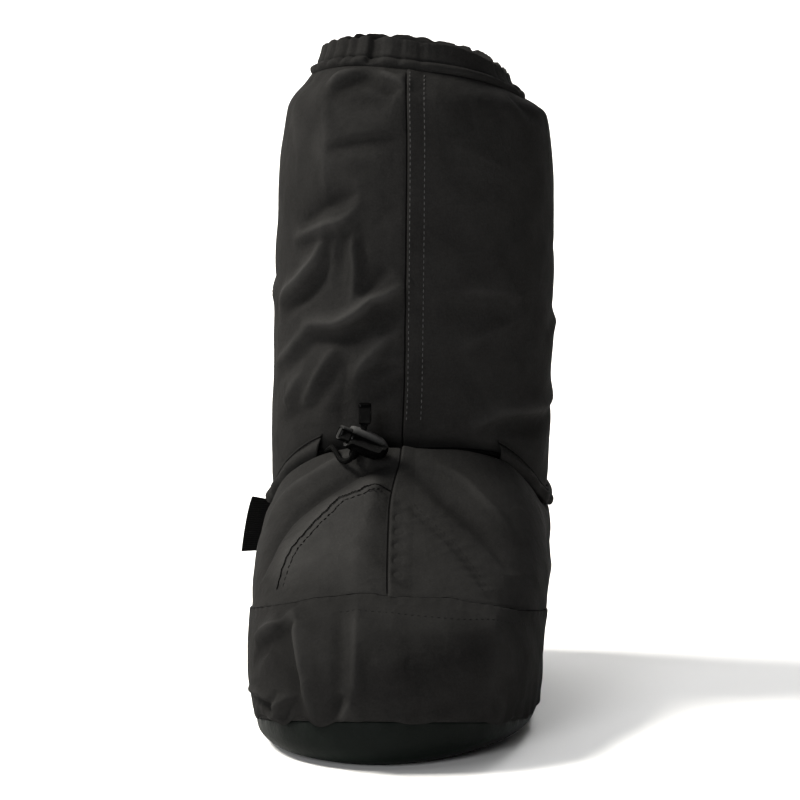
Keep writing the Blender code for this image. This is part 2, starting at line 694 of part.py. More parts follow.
def make_side_tab(parent):
    """Folded webbing tab that stands out of the outer side seam."""
    front = []
    back = []
    for share in np.linspace(0.0, 1.0, TAB_ROWS):
        level = TAB_LEVELS[0] + share * (TAB_LEVELS[1] - TAB_LEVELS[0])
        reach, heel = smooth_rows(UPPER, level)[:2]
        turn = math.acos((reach + heel - 2.0 * TAB_PLACE) / (heel - reach))
        root = upper_ring(level, [-turn], 2.0 * LAP_GAP)[0]
        tip_x = TAB_BOTTOM_X + share * (TAB_TOP_X - TAB_BOTTOM_X)
        rise = TAB_BOTTOM_RISE + share * (TAB_TOP_RISE - TAB_BOTTOM_RISE)
        tip = np.array([tip_x, root[1], root[2] + rise])
        front_row = []
        back_row = []
        for share_out, thick in TAB_SECTIONS:
            middle = root + share_out * (tip - root)
            half = np.array([0.0, 0.5 * TAB_THICK * thick, 0.0])
            front_row.append(middle - half)
            back_row.append(middle + half)
        front.append(front_row)
        back.append(back_row)
    return finish("side_tab", panel("side_tab", front, back), parent)


clear_scene()
overshoe = guide("overshoe")
make_outsole(overshoe)
make_insole(overshoe)
make_upper(overshoe)
make_toe_cap(overshoe)
make_seam_lap(overshoe)
make_casing(overshoe)
make_tunnel(overshoe)
make_drawcord(overshoe)
make_lock(overshoe)
make_cord_end(overshoe)
make_side_tab(overshoe)
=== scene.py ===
"""Looks of the insulated overshoe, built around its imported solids.

Lengths are millimetres until a mesh is made; the toe points along -Y and the floor is Z = 0.
A level counts the rows of the last's table up from the sole seam, and a turn is the angle from
the toe towards +X.
"""

import math

import bmesh
import bpy
import numpy as np
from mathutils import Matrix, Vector


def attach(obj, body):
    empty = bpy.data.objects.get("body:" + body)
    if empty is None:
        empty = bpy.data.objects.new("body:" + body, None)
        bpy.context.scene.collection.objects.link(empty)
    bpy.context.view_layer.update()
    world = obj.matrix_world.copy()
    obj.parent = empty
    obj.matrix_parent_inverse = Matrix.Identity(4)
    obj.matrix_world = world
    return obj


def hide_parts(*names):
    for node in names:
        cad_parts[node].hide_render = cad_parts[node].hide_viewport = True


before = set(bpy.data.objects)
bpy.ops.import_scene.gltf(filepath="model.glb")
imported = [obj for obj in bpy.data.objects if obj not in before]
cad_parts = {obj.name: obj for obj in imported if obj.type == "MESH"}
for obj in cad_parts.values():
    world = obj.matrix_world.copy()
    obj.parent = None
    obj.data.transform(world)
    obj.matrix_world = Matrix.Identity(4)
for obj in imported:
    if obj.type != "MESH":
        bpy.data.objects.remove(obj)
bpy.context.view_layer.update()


# Upper
# The upper is a padded wall: black nylon cloth over wadding and a smooth lining, sewn to the form
# of a boot's last. It is open at the collar and underneath, and keeps the creases of wear.
MM = 0.001
TOE_REACH = 257.0
HEEL_REACH = 88.0
BALL_WIDTH = 162.0
INSTEP_HEIGHT = 141.0
COLLAR_HEIGHT = 348.0
TOE_SWING = -7.0
SWING_START = 90.0
WAIST_PLACE = -55.0
WAIST_LENGTH = 38.0
WALL = 4.0
SPANS = (-TOE_REACH, HEEL_REACH, 0.5 * BALL_WIDTH)

# Columns: front, back, width, z_front, z_side, z_back, fall, taper, fullness, waist, tilt, sway
FOOT_SECTIONS = (
    (0.992, 0.970, 0.918, 0.184, 0.050, 0.120, 2.0, 0.10, 0.34, 4.0, 0.0, -2.5),  # sole seam
    (1.000, 1.000, 0.943, 0.262, 0.155, 0.230, 2.2, 0.10, 0.34, 4.0, 0.0, -2.5),  # bumper
    (0.990, 1.000, 0.952, 0.365, 0.265, 0.345, 2.5, 0.10, 0.33, 3.0, 0.0, -2.5),  # toe bulge
    (0.940, 0.990, 0.965, 0.472, 0.360, 0.450, 2.8, 0.09, 0.33, 2.0, 0.0, -2.5),  # toe crown
    (0.830, 0.977, 0.985, 0.562, 0.440, 0.545, 3.0, 0.08, 0.36, 1.0, 0.0, -2.5),  # cap seam
    (0.700, 0.966, 1.000, 0.660, 0.512, 0.630, 3.0, 0.06, 0.42, 0.0, 0.0, -2.5),  # vamp, low
    (0.565, 0.958, 1.000, 0.772, 0.572, 0.710, 3.0, 0.04, 0.44, 0.0, 0.0, -2.5),  # vamp, middle
    (0.440, 0.952, 0.998, 0.885, 0.624, 0.775, 3.0, 0.02, 0.42, 0.0, 0.0, -2.5),  # instep
    (0.372, 0.950, 0.992, 0.958, 0.658, 0.825, 3.0, 0.00, 0.34, 0.0, 0.0, -2.5),  # bulge
    (0.329, 0.945, 0.970, 1.010, 0.682, 0.860, 3.0, 0.00, 0.26, 0.0, 0.0, -2.5),  # bulge top
    (0.290, 0.925, 0.935, 0.955, 0.694, 0.873, 3.0, 0.00, 0.20, 0.0, 0.0, -2.5),  # crease floor
    (0.276, 0.914, 0.922, 0.990, 0.706, 0.887, 3.0, 0.00, 0.18, 0.0, 0.0, -2.5),  # crease back
)
SHAFT_SECTIONS = (
    (0.300, 0.940, 0.957, 0.053, -0.163, -0.033, 3.0, 0.0, 0.14, 0.0, 0.0, -2.5),  # ankle cuff
    (0.307, 0.958, 0.982, 0.150, -0.030, 0.091, 3.0, 0.0, 0.10, 0.0, 0.0, -2.0),  # shaft base
    (0.303, 0.955, 0.982, 0.498, 0.474, 0.498, 3.0, 0.0, 0.06, 0.0, 0.0, 0.5),  # shaft, middle
    (0.293, 0.925, 0.952, 0.785, 0.766, 0.785, 3.0, 0.0, 0.06, 0.0, -1.0, 1.5),  # shaft, upper
    (0.275, 0.860, 0.912, 0.915, 0.878, 0.915, 3.0, 0.0, 0.06, 0.0, -2.0, 2.0),  # shoulder
    (0.218, 0.690, 0.750, 1.000, 0.947, 1.000, 3.0, 0.0, 0.06, 0.0, -7.0, 2.5),  # collar seam
)
REACHES = slice(0, 3)
HEIGHTS = slice(3, 6)
SWAY = 11


def last_table():
    """Both tables in millimetres: reaches, width and heights times the sizes of the last."""
    foot = np.array(FOOT_SECTIONS)
    shaft = np.array(SHAFT_SECTIONS)
    foot[:, HEIGHTS] *= INSTEP_HEIGHT
    shaft[:, HEIGHTS] = INSTEP_HEIGHT + shaft[:, HEIGHTS] * (COLLAR_HEIGHT - INSTEP_HEIGHT)
    table = np.vstack([foot, shaft])
    table[:, REACHES] *= SPANS
    return table


LAST = last_table()
COLLAR_LEVEL = len(LAST) - 1.0


def rows_between(table, level):
    """Rows between a table's rows, by a cubic through them.

    Its slope at a row is the harmonic mean of the steps on both sides, or level where the
    steps turn round, so it never overshoots a row.
    """
    step = np.diff(table, axis=0)
    before, after = step[:-1], step[1:]
    same_way = before * after > 0.0
    both = np.where(same_way, before + after, 1.0)
    inner = np.where(same_way, 2.0 * before * after / both, 0.0)
    slope = np.vstack([step[:1], inner, step[-1:]])
    low = np.clip(np.floor(level).astype(int), 0, len(table) - 2)
    u = (level - low)[..., None]
    return (
        (1.0 + 2.0 * u) * (1.0 - u) ** 2 * table[low]
        + u * (1.0 - u) ** 2 * slope[low]
        + u * u * (3.0 - 2.0 * u) * table[low + 1]
        + u * u * (u - 1.0) * slope[low + 1]
    )


def bell(value, wide):
    """A bump of height 1 that falls as exp(-(value / wide)^2)."""
    return np.exp(-((value / wide) ** 2))


HALF_TURN = np.linspace(0.0, math.pi, 91)


def last_form(level, turn, table=LAST):
    """The bare form: an oval section at each level, read at a turn from the toe towards +X.

    Half width is sin(turn) (1 + fullness cos^2) (1 + taper cos) scaled to the row's width, and
    the height falls from the front's or the back's to the side's with sin(turn)^fall.
    """
    level, turn = np.asarray(level, float), np.asarray(turn, float)
    row = np.moveaxis(rows_between(table, level), -1, 0)
    front, back, width, z_front, z_side, z_back, fall, taper, fullness, waist, tilt, sway = row
    bow = np.sin(HALF_TURN) * (1.0 + fullness[..., None] * np.cos(HALF_TURN) ** 2)
    widest = np.max(bow * (1.0 + taper[..., None] * np.cos(HALF_TURN)), axis=-1)
    along, across = np.cos(turn), np.sin(turn)
    x = width / widest * across * (1.0 + fullness * along**2) * (1.0 + taper * along)
    y = 0.5 * (front + back) - 0.5 * (back - front) * along
    z_end = np.where(along > 0.0, z_front, z_back)
    z = z_end - (z_end - z_side) * np.abs(across) ** fall + tilt * across
    narrowed = waist * bell(y - WAIST_PLACE, WAIST_LENGTH)
    swing = np.clip((-y - SWING_START) / (TOE_REACH - SWING_START), 0.0, 1.0)
    x = x - narrowed * np.clip(across, 0.0, 1.0) + TOE_SWING * swing**2 + sway
    return np.stack(np.broadcast_arrays(x, y, z), axis=-1)


def unit(way):
    """The way, divided by its length."""
    return way / np.linalg.norm(way, axis=-1, keepdims=True)


SLOPE_STEP = 0.02


def ways(level, turn, reach=SLOPE_STEP):
    """The ways out of the form and up along it, from differences over reach levels."""
    level, turn = np.asarray(level, float), np.asarray(turn, float)
    above = last_form(np.minimum(level + reach, COLLAR_LEVEL), turn)
    up = above - last_form(np.maximum(level - reach, 0.0), turn)
    ahead = last_form(level, turn + SLOPE_STEP) - last_form(level, turn - SLOPE_STEP)
    return unit(np.cross(ahead, up)), unit(up)


def smooth_path(points, count):
    """A curve through the points, by cubics whose slope at a point is half its neighbours' gap."""
    points = np.asarray(points, float)
    ends = np.vstack([2 * points[0] - points[1], points, 2 * points[-1] - points[-2]])
    at = np.linspace(0.0, len(points) - 1.0, count)
    low = np.minimum(at.astype(int), len(points) - 2)
    u = (at - low)[:, None]
    a, b, c, d = (ends[low + k] for k in range(4))
    bend = (2 * a - 5 * b + 4 * c - d) * u**2 + (3 * b - a - 3 * c + d) * u**3
    return 0.5 * (2 * b + (c - a) * u + bend)


# Faces of the shoe: the turn of the middle, the axis across, and the sign of depth along the other
FACES = {
    "front": (0.0, 0, 1.0),
    "right": (90.0, 1, -1.0),
    "back": (180.0, 0, -1.0),
    "left": (-90.0, 1, 1.0),
}
FACE_SPREAD = 88.0
FACE_LEVELS = 341
FACE_TURNS = 177
FACE_NEAR = 2.0
DEPTH_COST = 0.2
NEWTON_STEPS = 8
NEWTON_REACH = 0.01
LEVEL_STRIDE = 0.2
TURN_STRIDE = 0.05


def settle(level, turn, axis, spot):
    """Moves a place onto a spot (across, height) by Newton's steps in level and turn."""
    for _ in range(NEWTON_STEPS):
        here = last_form(level, turn)
        by_level = (last_form(level + NEWTON_REACH, turn) - here) / NEWTON_REACH
        by_turn = (last_form(level, turn + NEWTON_REACH) - here) / NEWTON_REACH
        slopes = np.stack([by_level, by_turn], axis=-1)[[axis, 2]]
        step = np.linalg.lstsq(slopes, np.subtract(spot, here[[axis, 2]]), rcond=None)[0]
        level = np.clip(level + np.clip(step[0], -LEVEL_STRIDE, LEVEL_STRIDE), 0.0, COLLAR_LEVEL)
        turn = turn + np.clip(step[1], -TURN_STRIDE, TURN_STRIDE)
    return level, turn


def on_face(face, points, count):
    """Level and turn along a smooth path through points given as (across, height) on a face.

    Each point starts at the nearest of a grid of places, on the side that faces the viewer, and
    is settled from there.
    """
    middle, axis, sign = FACES[face]
    levels = np.linspace(0.0, COLLAR_LEVEL, FACE_LEVELS)[:, None]
    turns = np.radians(middle + np.linspace(-FACE_SPREAD, FACE_SPREAD, FACE_TURNS))[None]
    seen = last_form(levels, turns)
    depth = DEPTH_COST * sign * seen[..., 1 - axis]
    spots = []
    for across, height in points:
        miss = np.hypot(seen[..., axis] - across, seen[..., 2] - height)
        cost = np.where(miss < miss.min() + FACE_NEAR, miss + depth, np.inf)
        i, k = np.unravel_index(np.argmin(cost), cost.shape)
        spots.append(settle(levels[i, 0], turns[0, k], axis, (across, height)))
    return smooth_path(spots, count).T


def beside(points, out, path):
    """Distance from a path, positive on its left seen from outside, the run along it and its length."""
    far = np.full(len(points), np.inf)
    run = np.zeros(len(points))
    side = np.ones(len(points))
    done = 0.0
    for start, stop in zip(path[:-1], path[1:]):
        step = stop - start
        length = np.linalg.norm(step)
        share = np.clip((points - start) @ step / length**2, 0.0, 1.0)
        gap = points - start - share[:, None] * step
        size = np.linalg.norm(gap, axis=1)
        nearer = size < far
        far = np.where(nearer, size, far)
        run = np.where(nearer, done + share * length, run)
        side = np.where(nearer, np.sign(np.sum(np.cross(out, step) * gap, axis=1)), side)
        done += length
    return far * side, run, done


def near_path(points, path, reach):
    """Which points lie in the path's box, grown by reach."""
    return np.all((points > path.min(0) - reach) & (points < path.max(0) + reach), axis=1)


# Creases listed on each face: height, width, share of the trough on the left of the path, and the path as
# (across, height) in millimetres
FRONT_CREASES = (
    # shoulder under the collar, left of the front seam
    (6.0, 4.6, 1.0, ((-19, 353), (-29.7, 347.8), (-37.5, 343.9), (-47, 338.5))),
    (4.4, 3.6, 0.9, ((-1, 336), (-3, 340), (-11.9, 345), (-20.8, 351.6))),
    (-4.0, 7.0, 0.0, ((-8, 330), (-26, 333), (-44, 331))),
    (1.4, 7.0, 0.0, ((-2, 319), (-18, 321), (-34, 322))),
    (1.6, 3.6, 0.0, ((0, 316.5), (-16, 315), (-31, 313), (-46, 308))),
    (-2.8, 4.0, 0.0, ((-0.8, 312.8), (-16.4, 311), (-30.8, 308.4), (-47, 303))),
    (1.2, 6.0, 0.0, ((-8, 300), (-30, 299), (-44, 298))),
    # shaft, left of the front seam
    (2.3, 9.0, 0.0, ((-47, 342), (-46, 318), (-45.5, 300), (-46, 280), (-46.4, 250))),
    (-5.0, 5.4, 0.0, ((-27, 282), (-34, 279.5), (-44.2, 274.5), (-53, 268), (-61, 260.5))),
    (4.8, 4.2, 0.3, ((-25, 278), (-34.2, 267.5), (-45.3, 263.6), (-56.4, 258.7), (-66, 253))),
    (-1.3, 6.0, 0.0, ((-4, 276), (-12, 271), (-20, 261))),
    (5.6, 4.6, 0.8, ((-46, 262), (-48.6, 251.6), (-51.4, 243.9), (-55.3, 238.5), (-60.8, 231.4),
        (-67.5, 225.4), (-75, 214))),
    (2.2, 3.0, 0.6, ((-38.6, 264), (-39.7, 257), (-42, 246), (-45.5, 232))),
    (2.8, 3.0, 0.7, ((-30, 264), (-30.5, 252), (-29.2, 240), (-31, 220))),
    (-1.0, 3.6, 0.0, ((-36.5, 254), (-36, 240), (-38, 222))),
    (-4.6, 5.0, 0.0, ((-11, 242), (-18.5, 234), (-26, 224))),
    (6.4, 4.8, 0.8, ((3, 234), (-6.4, 229.2), (-11.9, 225.9), (-19.7, 223.2), (-24.2, 218.8),
        (-31.9, 213.3), (-39.7, 209.5), (-50.8, 209), (-60, 206))),
    (-2.4, 3.0, 0.0, ((-0.5, 217), (-8, 213), (-17, 205))),
    (3.4, 4.6, 0.7, ((0, 209), (-14, 199), (-26, 186), (-31, 174))),
    (1.9, 2.4, 0.8, ((-1, 192.5), (-13, 190), (-26, 183))),
    (-4.2, 6.0, 0.0, ((1, 183), (-8, 175), (-18, 168), (-28, 162))),
    (-1.5, 2.6, 0.0, ((-34, 191), (-34.5, 182), (-37, 171))),
    (3.2, 4.4, 0.7, ((-52, 209), (-62, 199), (-68, 191), (-77, 180))),
    (2.9, 4.4, 0.7, ((-37, 202), (-46, 188), (-55, 173), (-61, 160))),
    (2.4, 4.4, 0.6, ((-55, 186), (-64, 174), (-72, 160))),
    (-2.8, 4.0, 0.0, ((-47, 165), (-60, 159.5), (-76, 151))),
    (-2.4, 6.0, 0.0, ((-36, 174), (-38, 160), (-36, 149))),
    (1.5, 7.0, 0.2, ((-60, 338), (-62, 305), (-64, 278))),
    # shoulder and shaft, right of the front seam
    (-3.4, 4.2, 0.0, ((53, 334), (64, 326.5), (75, 319))),
    (2.0, 6.0, 0.6, ((64, 221), (40, 228), (9, 226))),
    (1.8, 7.0, 0.5, ((66, 213), (44, 204), (15, 191))),
    (1.4, 8.0, 0.5, ((60, 292), (42, 300), (16, 312))),
    (4.6, 5.0, 0.8, ((79, 169), (56, 160), (30, 152))),
    (-2.0, 6.0, 0.0, ((75, 152), (62, 148), (49, 147))),
    # vamp
    (-6.0, 4.2, 0.0, ((-4, 136), (-17.6, 133), (-32, 127.3), (-44, 120.8), (-55.9, 112.5),
        (-64.3, 104), (-70.3, 92), (-74, 80))),
    (3.8, 4.2, 0.0, ((-10, 143), (-29.6, 137.5), (-40.4, 133), (-52.3, 126.5), (-61.9, 120),
        (-70, 110.5), (-77, 99))),
    (-4.6, 4.4, 0.0, ((4, 132), (12, 126.5), (21.7, 119.5), (37.5, 108.5), (50, 97), (58, 86))),
    (2.8, 5.0, 0.0, ((8, 136), (24, 131.5), (39.4, 120.5), (52, 109), (62, 97))),
    (1.0, 6.0, 0.0, ((-22, 109), (-23, 96), (-22, 82))),
    (-1.0, 7.0, 0.0, ((29, 101), (38, 92), (45, 83))),
    (-1.5, 3.4, 0.0, ((-4, 87), (5, 85.6), (14, 84))),
    # toe
    (6.2, 4.2, 0.8, ((-38, 20), (-41, 33), (-46, 53), (-53, 75))),
    (5.2, 4.8, 0.9, ((-52, 73), (-61, 66), (-74, 55))),
    (-5.6, 6.0, 0.0, ((-65, 56), (-55, 47), (-46, 39))),
    (3.2, 2.4, 0.9, ((-47, 38), (-54, 35), (-61, 30), (-69, 32.5), (-78, 28))),
    (3.2, 2.6, 0.8, ((-66, 20), (-60, 27), (-58, 36))),
    (2.8, 4.2, 0.6, ((-24, 24), (-20.5, 38), (-19, 55), (-20, 79))),
    (3.2, 2.6, 0.8, ((-27, 22), (-25, 29), (-20, 37))),
    (-1.8, 12.0, 0.0, ((8, 73), (9, 55), (9, 33))),
    (-1.8, 5.0, 0.0, ((48, 34), (16, 31), (-16, 34))),
    (2.8, 14.0, 0.0, ((47, 78), (51, 56), (48, 34))),
    (1.6, 2.8, 0.7, ((50, 19), (54, 27), (52, 36))),
)
LEFT_CREASES = (
    (1.8, 14.0, 0.0, ((-175, 26), (-150, 40), (-130, 56))),
    (2.2, 4.5, 0.5, ((-60, 60), (-30, 74), (0, 76))),
    (-2.2, 6.0, 0.0, ((-80, 86), (-50, 92), (-20, 90))),
    (2.2, 4.5, 0.4, ((30, 236), (4, 222), (-24, 216))),
    (-2.0, 6.0, 0.0, ((44, 268), (20, 262), (-10, 266))),
    (2.2, 4.5, 0.4, ((54, 186), (30, 176), (0, 178))),
    (2.0, 5.0, 0.5, ((70, 60), (50, 70), (24, 68))),
)
RIGHT_CREASES = (
    (2.0, 4.5, 0.5, ((-10, 74), (-44, 72), (-84, 58))),
    (-2.0, 6.0, 0.0, ((-20, 92), (-50, 90), (-86, 82))),
    (2.0, 4.5, 0.4, ((-20, 196), (10, 204), (40, 196))),
    (-1.7, 7.0, 0.0, ((-8, 250), (24, 244), (52, 252))),
    (1.9, 5.0, 0.5, ((26, 66), (52, 70), (72, 60))),
)
BACK_CREASES = (
    (2.5, 5.0, 0.5, ((-58, 150), (-20, 158), (30, 150))),
    (-2.2, 7.0, 0.0, ((-46, 190), (0, 182), (48, 192))),
    (2.2, 5.0, 0.4, ((-40, 226), (-4, 214), (36, 222))),
    (1.7, 6.0, 0.4, ((-52, 268), (-10, 262), (34, 272))),
    (-2.0, 7.0, 0.0, ((-44, 60), (0, 66), (46, 58))),
    (2.0, 5.0, 0.4, ((-50, 88), (0, 94), (48, 86))),
)
CREASES = {"front": FRONT_CREASES, "left": LEFT_CREASES, "right": RIGHT_CREASES, "back": BACK_CREASES}
CREASE_ROUND = 0.7
CREASE_POINTS = 26
CREASE_REACH = 5.0
CREASE_FADE = 0.8
TROUGH_PLACE = 1.8
creases = [
    (*sizes, last_form(*on_face(face, points, CREASE_POINTS)))
    for face, rows in CREASES.items()
    for *sizes, points in rows
]


def crease_lift(points, out):
    """Each crease: height times exp(-distance / width), rounded on top, less its bell of a trough.

    It fades to both ends with a power of a half sine of the run.
    """
    lift = np.zeros(len(points))
    for height, width, trough, path in creases:
        near = near_path(points, path, CREASE_REACH * width)
        far, run, length = beside(points[near], out[near], path)
        top = np.exp(-(np.hypot(far, CREASE_ROUND) - CREASE_ROUND) / width)
        low = bell(far - TROUGH_PLACE * width, width)
        fade = np.sin(math.pi * np.clip(run / length, 0.0, 1.0)) ** CREASE_FADE
        lift[near] += height * fade * (top - trough * low)
    return lift


# Slackness between the creases: height of a wave, then for each of its two sines the change per
# millimetre of x, y and z and the start
SLACK_WAVES = (
    (0.55, (0.085, 0.0, 0.06, 1.3), (0.0, -0.05, 0.075, 0.4)),
    (0.28, (0.19, 0.13, 0.0, 0.0), (0.06, 0.0, 0.17, 2.0)),
)


def slack_lift(points):
    """Each wave: its height times two sines of sums of x, y and z."""
    lift = np.zeros(len(points))
    for height, *sines in SLACK_WAVES:
        first, second = (np.sin(points @ sine[:3] + sine[3]) for sine in sines)
        lift += height * first * second
    return lift


# Double seams that carry the vamp's side panels: their middle as (across, height) on the front, and
# how far from it their two rows are
ARCH_SEAMS = {
    "left": ((-7.5, 121.6), (-13.3, 123), (-22.4, 119.2), (-32.7, 115.4), (-38.3, 110.5), (-50.8, 98),
             (-57.2, 89.7), (-62.6, 79.5)),
    "right": ((3, 117.5), (14.3, 109.7), (27.4, 100.7), (36.4, 92.8), (43.7, 84.5), (46.5, 80.5)),
}
TWIN_HALF = 2.3
ARCH_POINTS = 60
ARCH_REACH = 25.0
ARCH_ENDS = 6.0
# Depth and width of the groove; height, pitch and width of the puckers
ARCH_GROOVE = (0.75, 2.3)
ARCH_PUCKER = (0.30, 7.5, 7.0)
# Climb of the cloth to the left seam: height, reach outside and inside, and where it starts and is
# full, to the left, upwards and forwards
ARCH_CLIMB = (6.4, 13.0, 30.0)
CLIMB_LEFT = (7.0, 20.0)
CLIMB_UP = (76.0, 94.0)
CLIMB_FORE = (60.0, 90.0)
arch_paths = {side: on_face("front", points, ARCH_POINTS) for side, points in ARCH_SEAMS.items()}
arch_lines = {side: last_form(*path) for side, path in arch_paths.items()}


def step_up(value, low, high):
    """0 below low, 1 above high, and a smooth step between."""
    share = np.clip((value - low) / (high - low), 0.0, 1.0)
    return share * share * (3.0 - 2.0 * share)


def ends_faded(run, length, over):
    """1 along a path, with a smooth step from 0 over a length at both ends."""
    return step_up(run, 0.0, over) * step_up(length - run, 0.0, over)


def arch_lift(points, out):
    """The double seams of the vamp: a cosine of puckers less a bell of a groove along each.

    The cloth climbs to the left one with exp(-distance / reach), a reach for each side of it.
    """
    lift = np.zeros(len(points))
    groove, groove_wide = ARCH_GROOVE
    pucker, pitch, pucker_wide = ARCH_PUCKER
    for line in arch_lines.values():
        near = near_path(points, line, ARCH_REACH)
        far, run, length = beside(points[near], out[near], line)
        wave = pucker * np.cos(math.tau * run / pitch) * bell(far, pucker_wide)
        lift[near] += ends_faded(run, length, ARCH_ENDS) * (wave - groove * bell(far, groove_wide))
    climb, reach_out, reach_in = ARCH_CLIMB
    far = beside(points, out, arch_lines["left"])[0]
    x, y, z = points.T
    fade = step_up(-x, *CLIMB_LEFT) * step_up(z, *CLIMB_UP) * step_up(-y, *CLIMB_FORE)
    return lift + climb * fade * np.where(far < 0.0, np.exp(far / reach_out), np.exp(-far / reach_in))


# Gathers that the elastic draws in the collar: turn in degrees and depth
GATHERS = (
    (-42.4, 0.9), (-35.0, 0.7), (-24.0, 1.6), (-20.0, 0.8), (-8.0, 0.45), (3.2, 0.35), (31.0, 0.15),
    (54.0, 0.25), (71.0, 0.4), (88.0, 0.5), (104.0, 0.8), (118.0, 0.5), (128.0, 0.7), (147.0, 0.9),
    (158.0, 0.5), (173.0, 0.8), (184.0, 0.6), (199.0, 0.9), (216.0, 0.6), (226.0, 0.9), (243.0, 0.8),
    (252.0, 0.6), (268.0, 0.9), (284.0, 0.6), (293.0, 0.8), (306.0, 0.7),
)
GATHER_WIDE = 2.3


def pinch(turn, wide=GATHER_WIDE):
    """How far the collar is drawn in at a turn: the sum of a bell of its depth at each gather."""
    middle, depth = np.array(GATHERS).T
    apart = (np.degrees(np.asarray(turn))[..., None] - middle + 180.0) % 360.0 - 180.0
    return np.sum(depth * bell(apart, wide), axis=-1)


def uneven_wave(turn, count, swing, slow):
    """The sine of count turns, set early and late by swing radians, slow times round the shoe."""
    return np.sin(count * turn + swing * np.sin(slow * turn))


# Upper edge of the toe band: turn in degrees and level
BAND_TOP = (
    (-98.0, 3.60), (-60.0, 3.66), (-38.0, 3.76), (-27.2, 3.90), (-19.6, 4.05), (-11.2, 4.14), (-3.6, 4.20),
    (1.2, 4.16), (15.6, 4.11), (23.2, 3.93), (38.0, 3.74), (60.0, 3.66), (98.0, 3.60),
)
BAND_EDGE_POINTS = 400
# The part of that edge that shows as a seam, and how far above the edge its groove is
TOE_SEAM = slice(60, 340, 3)
TOE_SEAM_RISE = 0.03

# Front seam strip: level, left edge and right edge across in millimetres
STRIP_EDGES = (
    (4.10, -4.3, 9.9), (5.00, -5.8, 9.4), (5.90, -6.8, 8.6), (6.70, -6.9, 7.6), (8.20, -3.2, 6.2),
    (10.0, -2.7, 6.8), (11.9, -2.5, 8.2), (13.4, -1.1, 9.2), (14.1, -0.5, 10.0), (15.06, -0.2, 9.6),
    (16.0, -0.7, 9.6), (16.97, -1.2, 9.6),
)
STRIP_EDGE_POINTS = 300
STRIP_SEAM = (4.2, 16.97, 160)
STRIP_SEAM_OFF = 0.5
FRONT_STEPS = 12
FRONT_STRIDE = 0.2


def turn_at(level, x):
    """The turn near the front where the form is x across, by Newton's steps."""
    turn = np.zeros(np.broadcast_shapes(np.shape(level), np.shape(x)))
    for _ in range(FRONT_STEPS):
        here = last_form(level, turn)[..., 0]
        slope = (last_form(level, turn + NEWTON_REACH)[..., 0] - here) / NEWTON_REACH
        turn = turn - np.clip((here - x) / slope, -FRONT_STRIDE, FRONT_STRIDE)
    return turn


def strip_edge(level, column):
    """How far across the strip's left edge (column 1) or right edge (column 2) is at a level."""
    edges = smooth_path(STRIP_EDGES, STRIP_EDGE_POINTS)
    return np.interp(level, edges[:, 0], edges[:, column])


band_edge = smooth_path(BAND_TOP, BAND_EDGE_POINTS)
strip_line = np.linspace(*STRIP_SEAM)
edge_lines = {
    "strip_edge": last_form(strip_line, turn_at(strip_line, strip_edge(strip_line, 1) - STRIP_SEAM_OFF)),
    "toe_seam": last_form(band_edge[TOE_SEAM, 1] + TOE_SEAM_RISE, np.radians(band_edge[TOE_SEAM, 0])),
}
EDGE_GROOVE = (0.7, 1.0)
EDGE_REACH = 4.0
# Under the collar: swelling, how far the gathers draw it in, how much wider they are, fade in levels
COLLAR_SWELL = 0.3
COLLAR_DRAW = 1.3
COLLAR_WIDEN = 1.4
COLLAR_FADE = 0.55
# Over the sole seam: height of the puckers, their uneven wave, fade in levels
SOLE_PUCKER = 0.7
SOLE_WAVE = (46.0, 2.0, 7.0)
SOLE_FADE = 0.5
# At the ankle the cord holds the cloth still: level, spread in levels, share that is stilled
CALM_LEVEL = 11.0
CALM_SPREAD = 1.1
CALM_SHARE = 0.75
# Levels over which the relief starts at the sole seam and ends at the collar, and its deepest trough
SOLE_EDGE = 0.35
COLLAR_EDGE = 0.3
DEEPEST = 3.2


def relief(here, out, level, turn):
    """How far the cloth stands off the bare form, in millimetres.

    Sum of slackness, creases, the vamp's double seams, grooves along sewn edges, the gathers
    under the collar and the puckers over the sole seam. It is stilled at the ankle and dies out at
    both edges, and a tanh keeps its troughs above the deepest.
    """
    shape = here.shape[:-1]
    points, out = here.reshape(-1, 3), out.reshape(-1, 3)
    level = np.broadcast_to(level, shape).ravel()
    turn = np.broadcast_to(turn, shape).ravel()
    lift = slack_lift(points) + crease_lift(points, out) + arch_lift(points, out)
    groove, groove_wide = EDGE_GROOVE
    for line in edge_lines.values():
        near = near_path(points, line, EDGE_REACH)
        lift[near] -= groove * bell(beside(points[near], out[near], line)[0], groove_wide)
    gathered = COLLAR_SWELL - COLLAR_DRAW * pinch(turn, COLLAR_WIDEN * GATHER_WIDE)
    lift += gathered * np.exp(-(COLLAR_LEVEL - level) / COLLAR_FADE)
    lift += SOLE_PUCKER * uneven_wave(turn, *SOLE_WAVE) * np.exp(-level / SOLE_FADE)
    lift *= 1.0 - CALM_SHARE * bell(level - CALM_LEVEL, CALM_SPREAD)
    lift *= step_up(level, 0.0, SOLE_EDGE) * step_up(COLLAR_LEVEL - level, 0.0, COLLAR_EDGE)
    lift = np.where(lift < 0.0, DEEPEST * np.tanh(lift / DEEPEST), lift)
    return lift.reshape(shape)


SEAM_NEAR = 16.0
SEAM_FADE = 4.0


